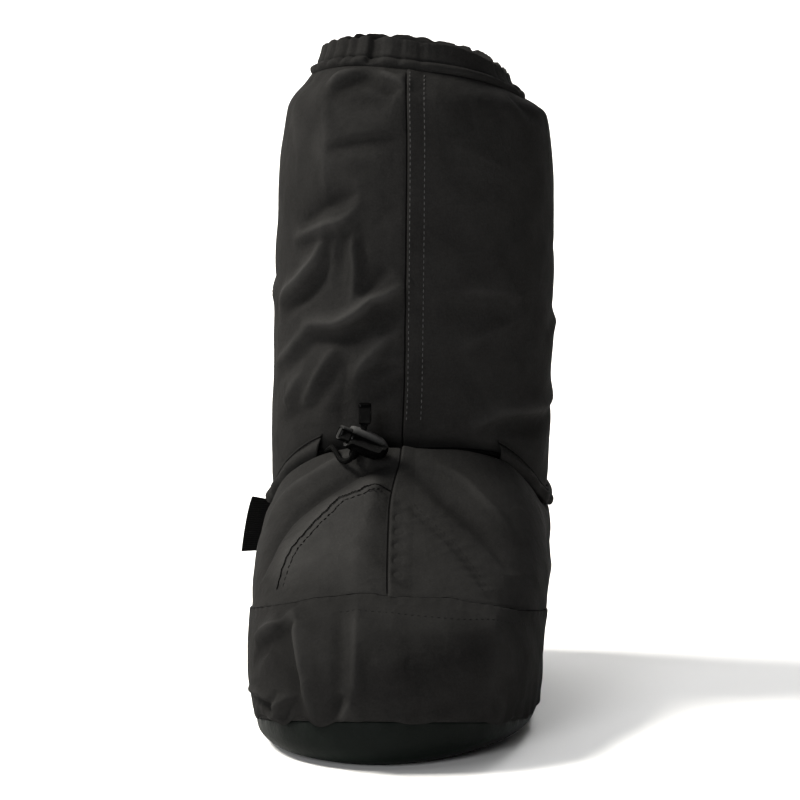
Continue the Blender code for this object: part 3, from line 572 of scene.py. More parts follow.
def seam_field(points, out, line):
    """Distance from a seam's line, run along it, and a mask that is 1 beside the line.

    The distance is signed, so it stays straight between vertices and a finish can draw thin lines
    from it; the mask dies out past both ends and away from the line.
    """
    flat, flat_out = points.reshape(-1, 3), out.reshape(-1, 3)
    field = np.zeros((len(flat), 3))
    near = near_path(flat, line, SEAM_NEAR)
    far, run, length = beside(flat[near], flat_out[near], line)
    away = step_up(np.abs(far), 0.5 * SEAM_NEAR, SEAM_NEAR)
    field[near] = np.stack([far, run, ends_faded(run, length, SEAM_FADE) * (1.0 - away)], axis=1)
    return field


def cloth_at(level, turn, off=0.0):
    """Points of the creased cloth, off millimetres above it, the way out and the relief there."""
    here = last_form(level, turn)
    out = ways(level, turn)[0]
    lift = relief(here, out, level, turn)
    return here + (lift + off)[..., None] * out, out, lift


def run_along(points, axis=0):
    """Length run from the start along one axis of a grid of points, the mean of its lines."""
    steps = np.linalg.norm(np.diff(points, axis=axis), axis=-1)
    if steps.ndim > 1:
        steps = steps.mean(axis=1 - axis)
    return np.concatenate([[0.0], np.cumsum(steps)])


EVEN_TURNS = np.radians([0.0, 0.0, -60.0, 60.0, 180.0])
EVEN_STEPS = 600


def even_levels(low, high, count):
    """Levels whose rings are evenly spaced, on the mean of the front's, sides' and back's lines."""
    fine = np.linspace(low, high, EVEN_STEPS)
    run = run_along(last_form(fine[:, None], EVEN_TURNS[None]))
    return np.interp(np.linspace(0.0, run[-1], count), run, fine)


def full_turn(count):
    """Angles evenly round a circle."""
    return np.arange(count) * (math.tau / count)


def grid_faces(points, close_rows=False, close_columns=True, capped=False):
    """Quads of a grid of points, joined round where it closes; caps shut the ends of a closed profile."""
    rows, columns = points.shape[:2]
    i = np.arange(rows if close_rows else rows - 1)[:, None]
    k = np.arange(columns if close_columns else columns - 1)[None]
    below, above = i * columns, (i + 1) % rows * columns
    after = (k + 1) % columns
    quads = np.stack([below + k, below + after, above + after, above + k], axis=-1).reshape(-1, 4)
    number = np.arange(rows * columns).reshape(rows, columns)
    caps = (number[:, 0], number[::-1, -1]) if close_rows else (number[0, ::-1], number[-1])
    return quads.tolist() + [cap.tolist() for cap in caps if capped]


MERGE = 1e-7


def add_piece(name, points, faces, finishes=(), slots=None, **fields):
    """A smooth mesh object from points in millimetres; fields go with it as vector attributes."""
    mesh = bpy.data.meshes.new(name)
    mesh.from_pydata((np.reshape(points, (-1, 3)) * MM).tolist(), [], faces)
    for made in finishes:
        mesh.materials.append(made)
    if slots is not None:
        mesh.polygons.foreach_set("material_index", slots)
    for key, values in fields.items():
        held = mesh.attributes.new(key, "FLOAT_VECTOR", "POINT")
        held.data.foreach_set("vector", np.reshape(values, -1).astype(np.float32))
    shape = bmesh.new()
    shape.from_mesh(mesh)
    bmesh.ops.remove_doubles(shape, verts=shape.verts, dist=MERGE)
    shape.to_mesh(mesh)
    shape.free()
    mesh.shade_smooth()
    piece = bpy.data.objects.new(name, mesh)
    bpy.context.scene.collection.objects.link(piece)
    return piece


def put_on(piece, slot, *nodes, body="boot"):
    """The piece rides on its body and stands for its solids; slot is not used."""
    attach(piece, body)
    if nodes:
        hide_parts(*nodes)


class Wire:
    """A socket in a material's tree; sums and products of wires add Math nodes."""

    def __init__(self, tree, socket=None):
        self.tree = tree
        self.socket = socket

    def node(self, kind, values=(), output=0, **settings):
        """Adds a node, sets its settings, then its sockets by name or number."""
        made = self.tree.nodes.new("ShaderNode" + kind)
        for key, value in settings.items():
            setattr(made, key, value)
        pairs = values.items() if isinstance(values, dict) else enumerate(values)
        for key, value in pairs:
            if isinstance(value, Wire):
                self.tree.links.new(value.socket, made.inputs[key])
            else:
                made.inputs[key].default_value = value
        return Wire(self.tree, made.outputs[output])

    def place(self):
        """The place on the piece, in metres."""
        return self.node("TexCoord", output=3)

    def field(self, name):
        """The three parts of a vector attribute."""
        parts = self.node("SeparateXYZ", [self.node("Attribute", attribute_name=name, output=1)])
        return [Wire(self.tree, socket) for socket in parts.socket.node.outputs]

    def maths(self, operation, *values):
        """One Math node of wires and numbers."""
        return self.node("Math", values, operation=operation)

    def __add__(self, other):
        return self.maths("ADD", self, other)

    def __sub__(self, other):
        return self.maths("SUBTRACT", self, other)

    def __rsub__(self, other):
        return self.maths("SUBTRACT", other, self)

    def __mul__(self, other):
        return self.maths("MULTIPLY", self, other)

    __radd__ = __add__
    __rmul__ = __mul__

    def sine(self):
        """The sine of the wire, in radians."""
        return self.maths("SINE", self)

    def limit(self, low, high):
        """Runs from 0 at low to 1 at high, held at both ends."""
        values = {"Value": self, "From Min": low, "From Max": high}
        return self.node("MapRange", values, clamp=True)

    def noise(self, where, scale, detail, roughness):
        """Clouds about 1 / scale metres across, broken up by octaves."""
        values = {"Vector": where, "Scale": scale, "Detail": detail, "Roughness": roughness}
        return self.node("TexNoise", values)

    def cells(self, where, scale, feature):
        """A feature of cells about 1 / scale metres across."""
        return self.node("TexVoronoi", {"Vector": where, "Scale": scale}, feature=feature)

    def blend(self, share, first, second):
        """A colour between two, by a share that varies."""
        return self.node("Mix", {0: share, 6: first, 7: second}, output=2, data_type="RGBA")


SHADER = "Principled BSDF"


def new_finish(name, **constants):
    """A Principled material with its constant sockets set, and a wire in its tree."""
    made = bpy.data.materials.new(name)
    made.use_nodes = True
    for key, value in constants.items():
        made.node_tree.nodes[SHADER].inputs[key.replace("_", " ")].default_value = value
    return made, Wire(made.node_tree)


def feed(wire, **sockets):
    """Links wires to the shader's sockets; bump is a height in metres."""
    for key, value in sockets.items():
        if key == "bump":
            value = wire.node("Bump", {"Height": value, "Strength": 1.0, "Distance": 1.0})
            key = "Normal"
        wire.tree.links.new(value.socket, wire.tree.nodes[SHADER].inputs[key.replace("_", " ")])


def grey(value, warm=0.0):
    """A linear grey, a little warmer or cooler."""
    return (value * (1.0 + warm), value, value * (1.0 - warm), 1.0)


# Dark lines painted into the cloth, stitch rows on the arch seams with painted shade in their grooves, and
# painted shade under the edges of the strip, the toe band and the tunnel: field, distance from its line,
# half width, dash pitch or 0, depth
SEAM_LINES = (
    ("left_arch", -TWIN_HALF, 0.36, 0.0, 0.84),
    ("left_arch", TWIN_HALF, 0.42, 4.0, 0.80),
    ("right_arch", -TWIN_HALF, 0.36, 3.4, 0.20),
    ("right_arch", TWIN_HALF, 0.36, 3.8, 0.20),
    ("strip_edge", 0.0, 0.45, 0.0, 0.80),
    ("toe_seam", 0.0, 0.50, 0.0, 0.90),
)
SEAM_SHADE_GREY = 0.0008
SHELL_GREYS = (0.0073, 0.0224)
CLOTH_WARM = 0.02
THREAD_PITCH = 0.62
# Crumpled facets: scales of the broad and the small ones, and of the noise that bends them by metres
FACET_SCALES = (34.0, 88.0)
BENT_SCALE = 22.0
BENT_BY = 0.018
# Relief in millimetres at which raised folds start to be painted paler, as wear and painted highlight, and
# troughs darker, as painted shade, and are fully so
RIDGE_WEAR_AND_HIGHLIGHT = (0.6, 4.0)
SUNK = (-0.4, -3.4)


def seam_lines_and_shade(wire):
    """The darkest of the painted seam lines, dark stitch rows and painted shade: each is full within its
    half width, and broken where it is dashed.
    """
    seam = wire.node("Value")
    for field, place, half, pitch, depth in SEAM_LINES:
        far, run, mask = wire.field(field)
        line = wire.maths("ABSOLUTE", far - place).limit(1.3 * half, 0.6 * half) * mask * depth
        if pitch:
            line = line * (run * (math.tau / pitch)).sine().limit(-0.5, 0.0)
        seam = wire.maths("MAXIMUM", seam, line)
    return seam


def nylon(name, dark, light):
    """Matt nylon: plain weave, crumpled facets, slow mottling, paler on raised folds as wear and painted
    highlight, darker in troughs as painted shade.
    """
    made, wire = new_finish(name, Specular_IOR_Level=0.004)
    round_way, up_way, lift = wire.field("weave")
    seam = seam_lines_and_shade(wire)
    place = wire.place()
    threads = math.tau / THREAD_PITCH
    weave = (round_way * threads).sine() * (up_way * threads).sine()
    bent = wire.node("TexNoise", {"Vector": place, "Scale": BENT_SCALE, "Detail": 3.0}, output=1)
    moved = wire.node("VectorMath", [bent, (BENT_BY, BENT_BY, BENT_BY)], operation="MULTIPLY")
    moved = wire.node("VectorMath", [place, moved], operation="ADD")
    broad, small = (wire.cells(moved, scale, "DISTANCE_TO_EDGE") for scale in FACET_SCALES)
    crinkle = wire.noise(place, scale=210.0, detail=4.0, roughness=0.6)
    mottle = wire.noise(place, scale=42.0, detail=4.0, roughness=0.6)
    slub = wire.noise(place, scale=900.0, detail=2.0, roughness=0.5)
    # Raised folds are painted paler, partly wear and partly painted highlight; troughs are painted darker
    # as painted shade
    wear_and_highlight = lift.limit(*RIDGE_WEAR_AND_HIGHLIGHT)
    sunk = lift.limit(*SUNK)
    tone = 0.12 + mottle.limit(0.3, 0.72) * 0.19 + slub.limit(0.3, 0.7) * 0.18 + wear_and_highlight * 0.6 - sunk * 0.3
    colour = wire.blend(tone.limit(0.0, 1.0), grey(dark, CLOTH_WARM), grey(light, CLOTH_WARM))
    # Seam lines painted near black: dark stitch rows, and painted shade in the seam grooves and under
    # folded edges
    colour = wire.blend(seam, colour, grey(SEAM_SHADE_GREY))
    rough = 0.66 + crinkle * 0.14 - wear_and_highlight * 0.08
    height = weave * 0.00002 + crinkle * 0.0004 + slub * 0.00006 - broad * 0.0014 - small * 0.0003
    feed(wire, Base_Color=colour, Roughness=rough, bump=height - seam * 0.0004)
    return made


def lining_finish():
    """Smooth dark lining with a faint diagonal rib."""
    made, wire = new_finish("lining_cloth", Specular_IOR_Level=0.3, Sheen_Weight=0.1)
    place = wire.place()
    soft = wire.noise(place, scale=60.0, detail=4.0, roughness=0.6)
    rib = wire.node("TexWave", {"Vector": place, "Scale": 320.0, "Distortion": 1.0}, output=1)
    colour = wire.blend(soft.limit(0.3, 0.7), grey(0.016), grey(0.028))
    feed(wire, Base_Color=colour, Roughness=0.6 + soft * 0.2, bump=rib * 0.00006 + soft * 0.0008)
    return made


SHELL_AROUND = 300
SHELL_RINGS = 266
LINING_RINGS = 40
FRONT_DENSER = 0.36
SHELL_SPREAD = 72.0
SOFT_REACH = 0.6

shell_cloth = nylon("shell_cloth", *SHELL_GREYS)
even = full_turn(SHELL_AROUND) - math.pi
shell_turn = (even - FRONT_DENSER * np.sin(even))[None]
shell_level = even_levels(0.0, COLLAR_LEVEL, SHELL_RINGS)[:, None]
outside, shell_out, shell_lift = cloth_at(shell_level, shell_turn)
lining_level = even_levels(0.0, COLLAR_LEVEL, LINING_RINGS)[::-1, None]
lining = last_form(lining_level, shell_turn) - WALL * ways(lining_level, shell_turn, SOFT_REACH)[0]
shell_weave = np.zeros((SHELL_RINGS + LINING_RINGS, SHELL_AROUND, 3))
shell_weave[:SHELL_RINGS, :, 0] = SHELL_SPREAD * shell_turn
shell_weave[:SHELL_RINGS, :, 1] = run_along(outside)[:, None]
shell_weave[:SHELL_RINGS, :, 2] = shell_lift
shell_seams = {}
seam_lines = {side + "_arch": line for side, line in arch_lines.items()} | edge_lines
for seam_name, line in seam_lines.items():
    field = seam_field(last_form(shell_level, shell_turn), shell_out, line)
    shell_seams[seam_name] = np.concatenate([field, np.zeros((LINING_RINGS * SHELL_AROUND, 3))])
shell_points = np.concatenate([outside, lining])
shell_faces = grid_faces(shell_points, close_rows=True)
is_lining = np.arange(len(shell_faces)) // SHELL_AROUND >= SHELL_RINGS - 1
shell = add_piece(
    "upper_shell",
    shell_points,
    shell_faces,
    [shell_cloth, lining_finish()],
    weave=shell_weave,
    slots=is_lining.astype(np.int32),
    **shell_seams,
)
put_on(shell, "shell", "upper")


# Sole
# The sole is a soft cup of coated black cloth with a greenish cast, sewn to the upper's lower
# edge. Its flat tread rises under the arch, and its rim puckers along the seam.
SOLE_GAP = 0.3
SOLE_FLOOR = 5.0
ARCH_RISE = 2.5
ARCH_BACK = -28.0
ARCH_FRONT = -100.0
SOLE_AROUND = 240
SOLE_RINGS = 44
TREAD_SHARES = (0.0, 0.25, 0.5, 0.72, 0.88, 0.96)

# Columns: front, back, width, heights as shares of the sole seam's, and how far the front corners
# are drawn in on the left and on the right
SOLE_SECTIONS = (
    (0.930, 0.880, 0.800, 0.00, 0.00, 0.00, 5.0, 15.0),  # tread
    (0.970, 0.935, 0.870, 0.16, 0.20, 0.16, 3.0, 9.0),  # lower edge
    (0.987, 0.960, 0.905, 0.50, 0.55, 0.50, 1.0, 3.0),  # rounding
    (0.992, 0.970, 0.918, 1.00, 1.00, 1.00, 0.0, 0.0),  # sole seam
)
SOLE_TOP = len(SOLE_SECTIONS) - 1.0
CORNERS = slice(6, 8)
# Inside the cup: outline of its floor, and how far its front corners are drawn in
FLOOR_OUTLINE = (0.935, 0.890, 0.815)
FLOOR_CORNER = (4.0, 11.0)
# Rim: height of its puckers, tuck under the upper, fade in levels; belly of the side below it
RIM_PUCKER = 0.5
RIM_TUCK = 0.9
RIM_FADE = 0.28
SIDE_BELLY = 0.9
SOLE_DARK = (0.0027, 0.0039, 0.0033, 1.0)
SOLE_SCUFFED = (0.0062, 0.0082, 0.0071, 1.0)


def sole_table():
    """The sole's rows: the sole seam's row with their own reach, width and height."""
    table = np.repeat(LAST[:1], len(SOLE_SECTIONS), axis=0)
    rows = np.array(SOLE_SECTIONS)
    table[:, REACHES] = rows[:, REACHES] * SPANS
    table[:, HEIGHTS] = rows[:, HEIGHTS] * LAST[0, HEIGHTS]
    return table


def draw_in(points, turn, left, right):
    """Moves the front corners of an outline in, most at 45 degrees from the toe."""
    corner = 2.0 * np.clip(np.cos(turn), 0.0, 1.0) * np.sin(turn)
    points[..., 0] -= np.where(np.sin(turn) > 0.0, right, left) * corner


def cup_outline(shares, height, turn):
    """A level outline inside the cup, from shares of the reaches and the width of the last."""
    row = SOLE[:1].copy()
    row[0, REACHES] = np.multiply(shares, SPANS)
    row[0, HEIGHTS] = height
    edge = last_form(np.zeros((1, 1)), turn, np.vstack([row, row]))
    draw_in(edge, turn, *FLOOR_CORNER)
    return edge


def middle_of(edge):
    """The line down the sole's middle, level with each point of an outline."""
    return edge * (0.0, 1.0, 1.0) + (LAST[0, SWAY], 0.0, 0.0)


def under_arch(y):
    """The rise of the tread: a squared half sine between the ends of the arch."""
    share = np.clip((y - ARCH_FRONT) / (ARCH_BACK - ARCH_FRONT), 0.0, 1.0)
    return ARCH_RISE * np.sin(math.pi * share) ** 2


def sole_finish():
    """Rubber-coated cloth: faint weave under the coat, greenish black, scuffed near the floor."""
    made, wire = new_finish("sole_coating", Specular_IOR_Level=0.05)
    place = wire.place()
    height = wire.node("SeparateXYZ", [place], output=2)
    soft = wire.noise(place, scale=34.0, detail=5.0, roughness=0.62)
    grain = wire.noise(place, scale=520.0, detail=3.0, roughness=0.6)
    pebble = wire.cells(place, 420.0, "SMOOTH_F1")
    low = height.limit(0.012, 0.0)
    scuffed = (low * 0.5 + soft.limit(0.5, 0.75) * 0.5).limit(0.1, 0.9)
    colour = wire.blend(scuffed, SOLE_DARK, SOLE_SCUFFED)
    rough = 0.48 + soft * 0.22 + low * 0.1
    bump = grain * 0.00012 + pebble * 0.00010 + soft * 0.0006
    feed(wire, Base_Color=colour, Roughness=rough, bump=bump)
    return made


SOLE = sole_table()
sole_turn = full_turn(SOLE_AROUND)[None]
sole_level = np.linspace(0.0, SOLE_TOP, SOLE_RINGS)[:, None]
sole_side = last_form(sole_level, sole_turn, SOLE)
sole_corner = rows_between(np.array(SOLE_SECTIONS)[:, CORNERS], sole_level)
draw_in(sole_side, sole_turn, sole_corner[..., 0], sole_corner[..., 1])
near_rim = np.exp(-(SOLE_TOP - sole_level) / RIM_FADE)
tuck = near_rim * (RIM_PUCKER * uneven_wave(sole_turn, *SOLE_WAVE) - RIM_TUCK)
tuck = tuck + SIDE_BELLY * np.sin(math.pi * sole_level / SOLE_TOP)
flat_out = ways(np.zeros((1, 1)), sole_turn)[0] * (1.0, 1.0, 0.0)
sole_side = sole_side + tuck[..., None] * flat_out
sole_side[..., 2] -= SOLE_GAP * step_up(sole_level, SOLE_TOP - 1.0, SOLE_TOP)
tread_middle = middle_of(sole_side[0])
tread = tread_middle + np.array(TREAD_SHARES)[:, None, None] * (sole_side[0] - tread_middle)
tread[..., 2] = under_arch(tread[..., 1])
sole_side[..., 2] += under_arch(sole_side[..., 1]) * (1.0 - step_up(sole_level, 0.0, 1.0))
wall_out = ways(np.zeros((1, 1)), sole_turn, SOFT_REACH)[0] * (1.0, 1.0, 0.0)
rim_inside = sole_side[-1:] - WALL * unit(wall_out)
floor_edge = cup_outline(FLOOR_OUTLINE, SOLE_FLOOR, sole_turn)
sole_points = np.concatenate([tread, sole_side, rim_inside, floor_edge, middle_of(floor_edge)])
sole = add_piece("sole_cup", sole_points, grid_faces(sole_points), [sole_finish()])
put_on(sole, "sole", "outsole")


# Footbed
# The footbed is a loose slab of closed-cell foam with a felted face that lies in the cup. Its
# edges are rounded by the cut and its heel is a little pressed in.
FOOTBED_THICK = 6.0
FOOTBED_ROUND = 1.6
FOOTBED_AROUND = 160
FOOTBED_OUTLINE = (0.924, 0.872, 0.800)
# Insets of the rings on the under side and on the face; a ring ends at the middle
UNDER_INSETS = (60.0, 12.0)
FACE_INSETS = (12.0, 40.0, 60.0)
ROUND_STEPS = 5
TINY = 1e-9
# Dish of the heel: depth, place along the sole, half width and half length
DISH_DEEP = 0.8
DISH_PLACE = 30.0
DISH_WIDE = 30.0
DISH_LONG = 45.0


def felt_finish():
    """Felted foam: short fibres in two greys."""
    made, wire = new_finish("footbed_felt", Specular_IOR_Level=0.2, Sheen_Weight=0.3)
    place = wire.place()
    fibre = wire.noise(place, scale=700.0, detail=4.0, roughness=0.7)
    worn = wire.noise(place, scale=30.0, detail=3.0, roughness=0.5)
    colour = wire.blend((fibre * 0.6 + worn * 0.4).limit(0.3, 0.7), grey(0.03), grey(0.06))
    feed(wire, Base_Color=colour, Roughness=0.85 + worn * 0.1, bump=fibre * 0.0004)
    return made


rim = cup_outline(FOOTBED_OUTLINE, 0.0, full_turn(FOOTBED_AROUND)[None])
to_middle = middle_of(rim) - rim
quarter = np.linspace(0.0, 0.5 * math.pi, ROUND_STEPS)
rounding = FOOTBED_ROUND * (1.0 - np.stack([np.sin(quarter), np.cos(quarter)]))
inset = np.concatenate([UNDER_INSETS, rounding[0], rounding[1], FACE_INSETS])
height = np.concatenate([
    np.zeros(len(UNDER_INSETS)),
    rounding[1],
    FOOTBED_THICK - rounding[0],
    np.full(len(FACE_INSETS), FOOTBED_THICK),
])
inset_by = np.minimum(inset[:, None], np.linalg.norm(to_middle, axis=-1))
slab = rim + inset_by[..., None] * unit(to_middle + TINY)
slab[..., 2] = SOLE_FLOOR + SOLE_GAP + height[:, None]
dish = bell(slab[..., 0], DISH_WIDE) * bell(slab[..., 1] - DISH_PLACE, DISH_LONG)
slab[-len(FACE_INSETS):, :, 2] -= DISH_DEEP * dish[-len(FACE_INSETS):]
footbed = add_piece("footbed", slab, grid_faces(slab), [felt_finish()])
put_on(footbed, "footbed", "insole")


# Toe band
# The toe band is a second layer of the same cloth over the toe, from the sole seam up to a turned
# edge on the vamp, where it is sewn down. Its ends slant back and down to the sole.
BAND_LOW = 0.2
BAND_HIGH = 4.0
BAND_OFF = 1.0
BAND_INSIDE = -0.4
BAND_CUT = (-118.0, 66.0)
BAND_SLANT = math.radians(42.0)
BAND_TURN = 97.5
BAND_END_STEPS = 196
BAND_COLUMNS = 280
BAND_ROWS = 96
BAND_INNER_ROWS = 16
BAND_LINE = 0.1
# The toe band's cloth is the shell's cloth painted darker: painted shade
TOE_SHADED_GREYS = (0.0068, 0.0186)
# Stand-off of the lowest rows, and rise and stand-off of the rows round the turned edge
BAND_FOOT = (0.3, 0.6, 0.85, 0.95)
BAND_FOLD = ((1.004, 0.8), (1.006, 0.5), (1.004, 0.2))
# Share of the thickness that the ends lose and where they start; height, count and start of the
# puckers under the turned edge
BAND_THIN = (0.7, 0.985)
EDGE_PUCKER = (0.12, 90.0, 0.86)

# Sags of the band's lower edge over the sole: turn in degrees, drop and width in degrees
BAND_SAGS = (
    (-66.0, 2.4, 6.0), (-50.0, 3.8, 5.0), (-34.0, 2.0, 4.0), (-28.5, 4.4, 3.4), (-15.0, 5.0, 4.2),
    (-4.0, 2.0, 6.0), (11.0, 3.6, 7.0), (26.0, 1.4, 5.0), (38.0, 4.0, 7.0), (56.0, 3.4, 6.0),
)
SAG_FADE = 0.10


def band_end(level, side):
    """The turn at which the slanted plane of the band's back edge cuts each level, on one side."""
    turns = np.radians(np.linspace(0.0, BAND_TURN, BAND_END_STEPS))
    spots = last_form(level, side * turns[None])
    past = (spots[..., 1] - BAND_CUT[0]) * math.cos(BAND_SLANT)
    past += (spots[..., 2] - BAND_CUT[1]) * math.sin(BAND_SLANT)
    return np.array([np.interp(0.0, row, turns) for row in past])[:, None]


def weave_of(points, lift):
    """Lengths run across and up a grid of points, and the relief, for the weave to follow."""
    across, up = run_along(points, 1)[None], run_along(points)[:, None]
    return np.stack(np.broadcast_arrays(across, up, lift), axis=-1)


def line_field(far):
    """The field of an unbroken line, from the distance to it."""
    return np.stack(np.broadcast_arrays(far, 0.0, 1.0), axis=-1)


fold_rise, fold_off = np.array(BAND_FOLD).T
band_rise = np.concatenate([
    np.linspace(0.0, 1.0, BAND_ROWS),
    fold_rise,
    np.linspace(1.0, 0.0, BAND_INNER_ROWS),
])[:, None]
band_off = np.concatenate([
    BAND_FOOT,
    np.full(BAND_ROWS - len(BAND_FOOT), BAND_OFF),
    fold_off,
    np.full(BAND_INNER_ROWS, BAND_INSIDE),
])[:, None]
band_share = np.linspace(-1.0, 1.0, BAND_COLUMNS)[None]
band_guide = BAND_LOW + np.minimum(band_rise, 1.0) * (BAND_HIGH - BAND_LOW)
band_ends = np.where(band_share > 0.0, band_end(band_guide, 1.0), band_end(band_guide, -1.0))
band_turn = band_share * band_ends
band_top = np.interp(np.degrees(band_turn), band_edge[:, 0], band_edge[:, 1])
band_level = BAND_LOW + band_rise * (band_top - BAND_LOW)
thin_ends = 1.0 - BAND_THIN[0] * step_up(np.abs(band_share), BAND_THIN[1], 1.0)
pucker_high, pucker_count, pucker_start = EDGE_PUCKER
edge_pucker = pucker_high * np.sin(pucker_count * band_turn) * step_up(band_rise, pucker_start, 1.0)
edge_pucker = edge_pucker * (band_off > 0.5 * BAND_OFF)
band_points, _, band_lift = cloth_at(band_level, band_turn, band_off * thin_ends + edge_pucker)
sag_place, sag_drop, sag_wide = np.array(BAND_SAGS).T
sag = np.sum(sag_drop * bell(np.degrees(band_turn)[..., None] - sag_place, sag_wide), axis=-1)
band_points[..., 2] -= sag * np.exp(-band_rise / SAG_FADE)
band_steps = np.linalg.norm(np.diff(band_points, axis=0, prepend=band_points[:1]), axis=-1)
band_run = band_steps.cumsum(axis=0)
band = add_piece(
    "toe_band",
    band_points,
    grid_faces(band_points, close_rows=True, close_columns=False, capped=True),
    [nylon("toe_cloth", *TOE_SHADED_GREYS)],
    weave=weave_of(band_points, band_lift),
    # A thin line of painted shade just under the band's turned edge
    toe_seam=line_field(band_run[BAND_ROWS - 1] - BAND_LINE - band_run),
)
put_on(band, "shell", "toe_cap")


# Front seam strip
# The strip is the lapped front seam: one folded edge of the shell laid over the other and sewn
# down, from the toe band over the instep and up the shaft to the collar.
STRIP_RINGS = 340
STRIP_THICK = 1.3
STRIP_TOP_POINTS = 22
# Round the strip, share of its width and stand-off: folded edge, start and end of the top, under side
STRIP_FOLD = ((0.0, 0.0), (0.0, 0.6), (0.012, 1.1), (0.04, STRIP_THICK))
STRIP_TOP = ((0.09, STRIP_THICK), (0.95, STRIP_THICK - 1.5))
STRIP_UNDER = ((0.985, -0.25), (1.0, -0.3), (0.97, -0.6), (0.5, -0.6), (0.04, -0.6))
# Dents over the vamp: heights where they start and stop, fade, pitch, depth, place and half width,
# and the stand-off above which they show
DENT_LOW = 85.0
DENT_HIGH = 120.0
DENT_FADE = 5.0
DENT_PITCH = 5.6
DENT_DEEP = 0.85
DENT_PLACE = 0.3
DENT_WIDE = 0.2
DENT_ABOVE = 0.3

strip_top = np.linspace(*np.array(STRIP_TOP), STRIP_TOP_POINTS)
strip_share, strip_off = np.vstack([STRIP_FOLD, strip_top, STRIP_UNDER]).T[:, None]
strip_level = even_levels(STRIP_EDGES[0][0], STRIP_EDGES[-1][0], STRIP_RINGS)[:, None]
strip_left = strip_edge(strip_level, 1)
strip_x = strip_left + strip_share * (strip_edge(strip_level, 2) - strip_left)
strip_turn = turn_at(strip_level, strip_x)
strip_z = last_form(strip_level, strip_turn)[..., 2]
dents = ends_faded(strip_z - DENT_LOW, DENT_HIGH - DENT_LOW, DENT_FADE)
dents = DENT_DEEP * dents * (1.0 + np.cos(math.tau * strip_z / DENT_PITCH))
dents = dents * bell(strip_share - DENT_PLACE, DENT_WIDE) * (strip_off > DENT_ABOVE)
strip_points, _, strip_lift = cloth_at(strip_level, strip_turn, strip_off - dents)
strip = add_piece(
    "front_seam_strip",
    strip_points,
    grid_faces(strip_points, capped=True),
    [shell_cloth],
    weave=weave_of(strip_points, strip_lift),
)
put_on(strip, "shell", "front_seam_lap")


# Collar casing
# The casing is a tube of shell cloth over a flat elastic: a thin roll above the collar seam and a
# band above that. The elastic draws both into gathers, tightest at the left front.
CASING_AROUND = 420
CASING_ROUND = 60
CASING_UPRIGHT = 0.45

# Across its height: out from the wall's outer face, and up along the wall from its rim
CASING_PROFILE = (
    (0.0, 0.5), (1.5, 1.6), (2.1, 3.4), (1.3, 5.4), (-0.3, 6.6), (0.5, 8.4), (0.6, 13.0),
    (0.1, 17.0), (-1.4, 19.4), (-3.2, 19.4), (-4.4, 17.0), (-4.6, 9.0), (-4.0, 0.5), (0.0, 0.5),
)
# Stand-off at which the inside ends and the outside starts, and share of the puffs on the inside
CASING_SIDES = (-4.0, -1.0)
INSIDE_PUFF = 0.35
# Puffs between the gathers, depth of the gathers, share of the height where both are full
PUFF_HIGH = 0.5
GATHER_DEEP = 1.7
PUFF_FULL = 0.15
# Fine crimps: height and uneven wave; drop of the top edge at a gather; its sway: height, count, start
CRIMP_HIGH = 0.12
CRIMP_WAVE = (95.0, 3.0, 11.0)
GATHER_DROP = 0.7
TOP_SWAY = (0.5, 9.0, 1.0)
# Relief that the finish sees, which paints the puffs paler as wear and painted highlight and the gathers
# darker as painted shade: gain and start
CASING_LIT_RELIEF = (1.5, -0.6)

casing_turn = full_turn(CASING_AROUND)[None]
casing_off, casing_rise = smooth_path(CASING_PROFILE, CASING_ROUND + 1)[:-1].T[..., None]
casing_out, casing_up = ways(np.full((1, 1), COLLAR_LEVEL), casing_turn)
height_share = casing_rise / casing_rise.max()
upright = (CASING_UPRIGHT * height_share**2)[..., None]
casing_way = casing_up * (1.0 - upright) + np.array([0.0, 0.0, 1.0]) * upright
drawn = pinch(casing_turn)
on_outside = step_up(casing_off, *CASING_SIDES)
puffs = (PUFF_HIGH - GATHER_DEEP * drawn) * step_up(height_share, 0.0, PUFF_FULL)
puffs = puffs * (INSIDE_PUFF + (1.0 - INSIDE_PUFF) * on_outside)
puffs = puffs + CRIMP_HIGH * uneven_wave(casing_turn, *CRIMP_WAVE) * on_outside * height_share
sway_high, sway_count, sway_start = TOP_SWAY
lowered = sway_high * np.sin(sway_count * casing_turn + sway_start) * height_share**3
lowered = lowered + GATHER_DROP * drawn * height_share**2
casing_points = last_form(np.full((1, 1), COLLAR_LEVEL), casing_turn)
casing_points = casing_points + (casing_off + puffs)[..., None] * casing_out
casing_points = casing_points + (casing_rise - lowered)[..., None] * casing_way
casing = add_piece(
    "collar_casing_cloth",
    casing_points,
    grid_faces(casing_points, close_rows=True),
    [shell_cloth],
    # The puffs are painted paler, as wear and painted highlight, and the gathers darker, as painted shade
    weave=weave_of(casing_points, puffs * CASING_LIT_RELIEF[0] + CASING_LIT_RELIEF[1]),
)
put_on(casing, "shell", "collar_casing")


# Cord tunnel
# The tunnel is a strip of shell cloth sewn along both edges round the back of the ankle. Its two
# ends are turned in and open at the front, where the cord comes out.
LAP_GAP = 0.45
TUNNEL_WALL = 1.2
TUNNEL_INSIDE = 0.1
TUNNEL_COLUMNS = 320
TUNNEL_ROWS = 34
TUNNEL_START = 37.5
TUNNEL_STOP = (325.0, 328.0)
# From the lower to the upper edge: level and stand-off
TUNNEL_PROFILE = (
    (11.10, 0.0), (11.24, 0.5), (11.40, 3.7), (11.62, 4.5), (11.84, 3.7), (12.00, 0.5), (12.14, 0.0),
)
# Slack between the seams: height, uneven wave, and the stand-off above which it shows
TUNNEL_SLACK = 0.55
TUNNEL_SLACK_WAVE = (21.0, 2.0, 5.0)
TUNNEL_SLACK_ABOVE = 0.6
# Painted shade as dark lines along both edges of the tunnel: how far in they run, and how much the lower
# one is spread
LOWER_LINE = 0.6
LOWER_SPREAD = 0.35
UPPER_LINE = 1.4

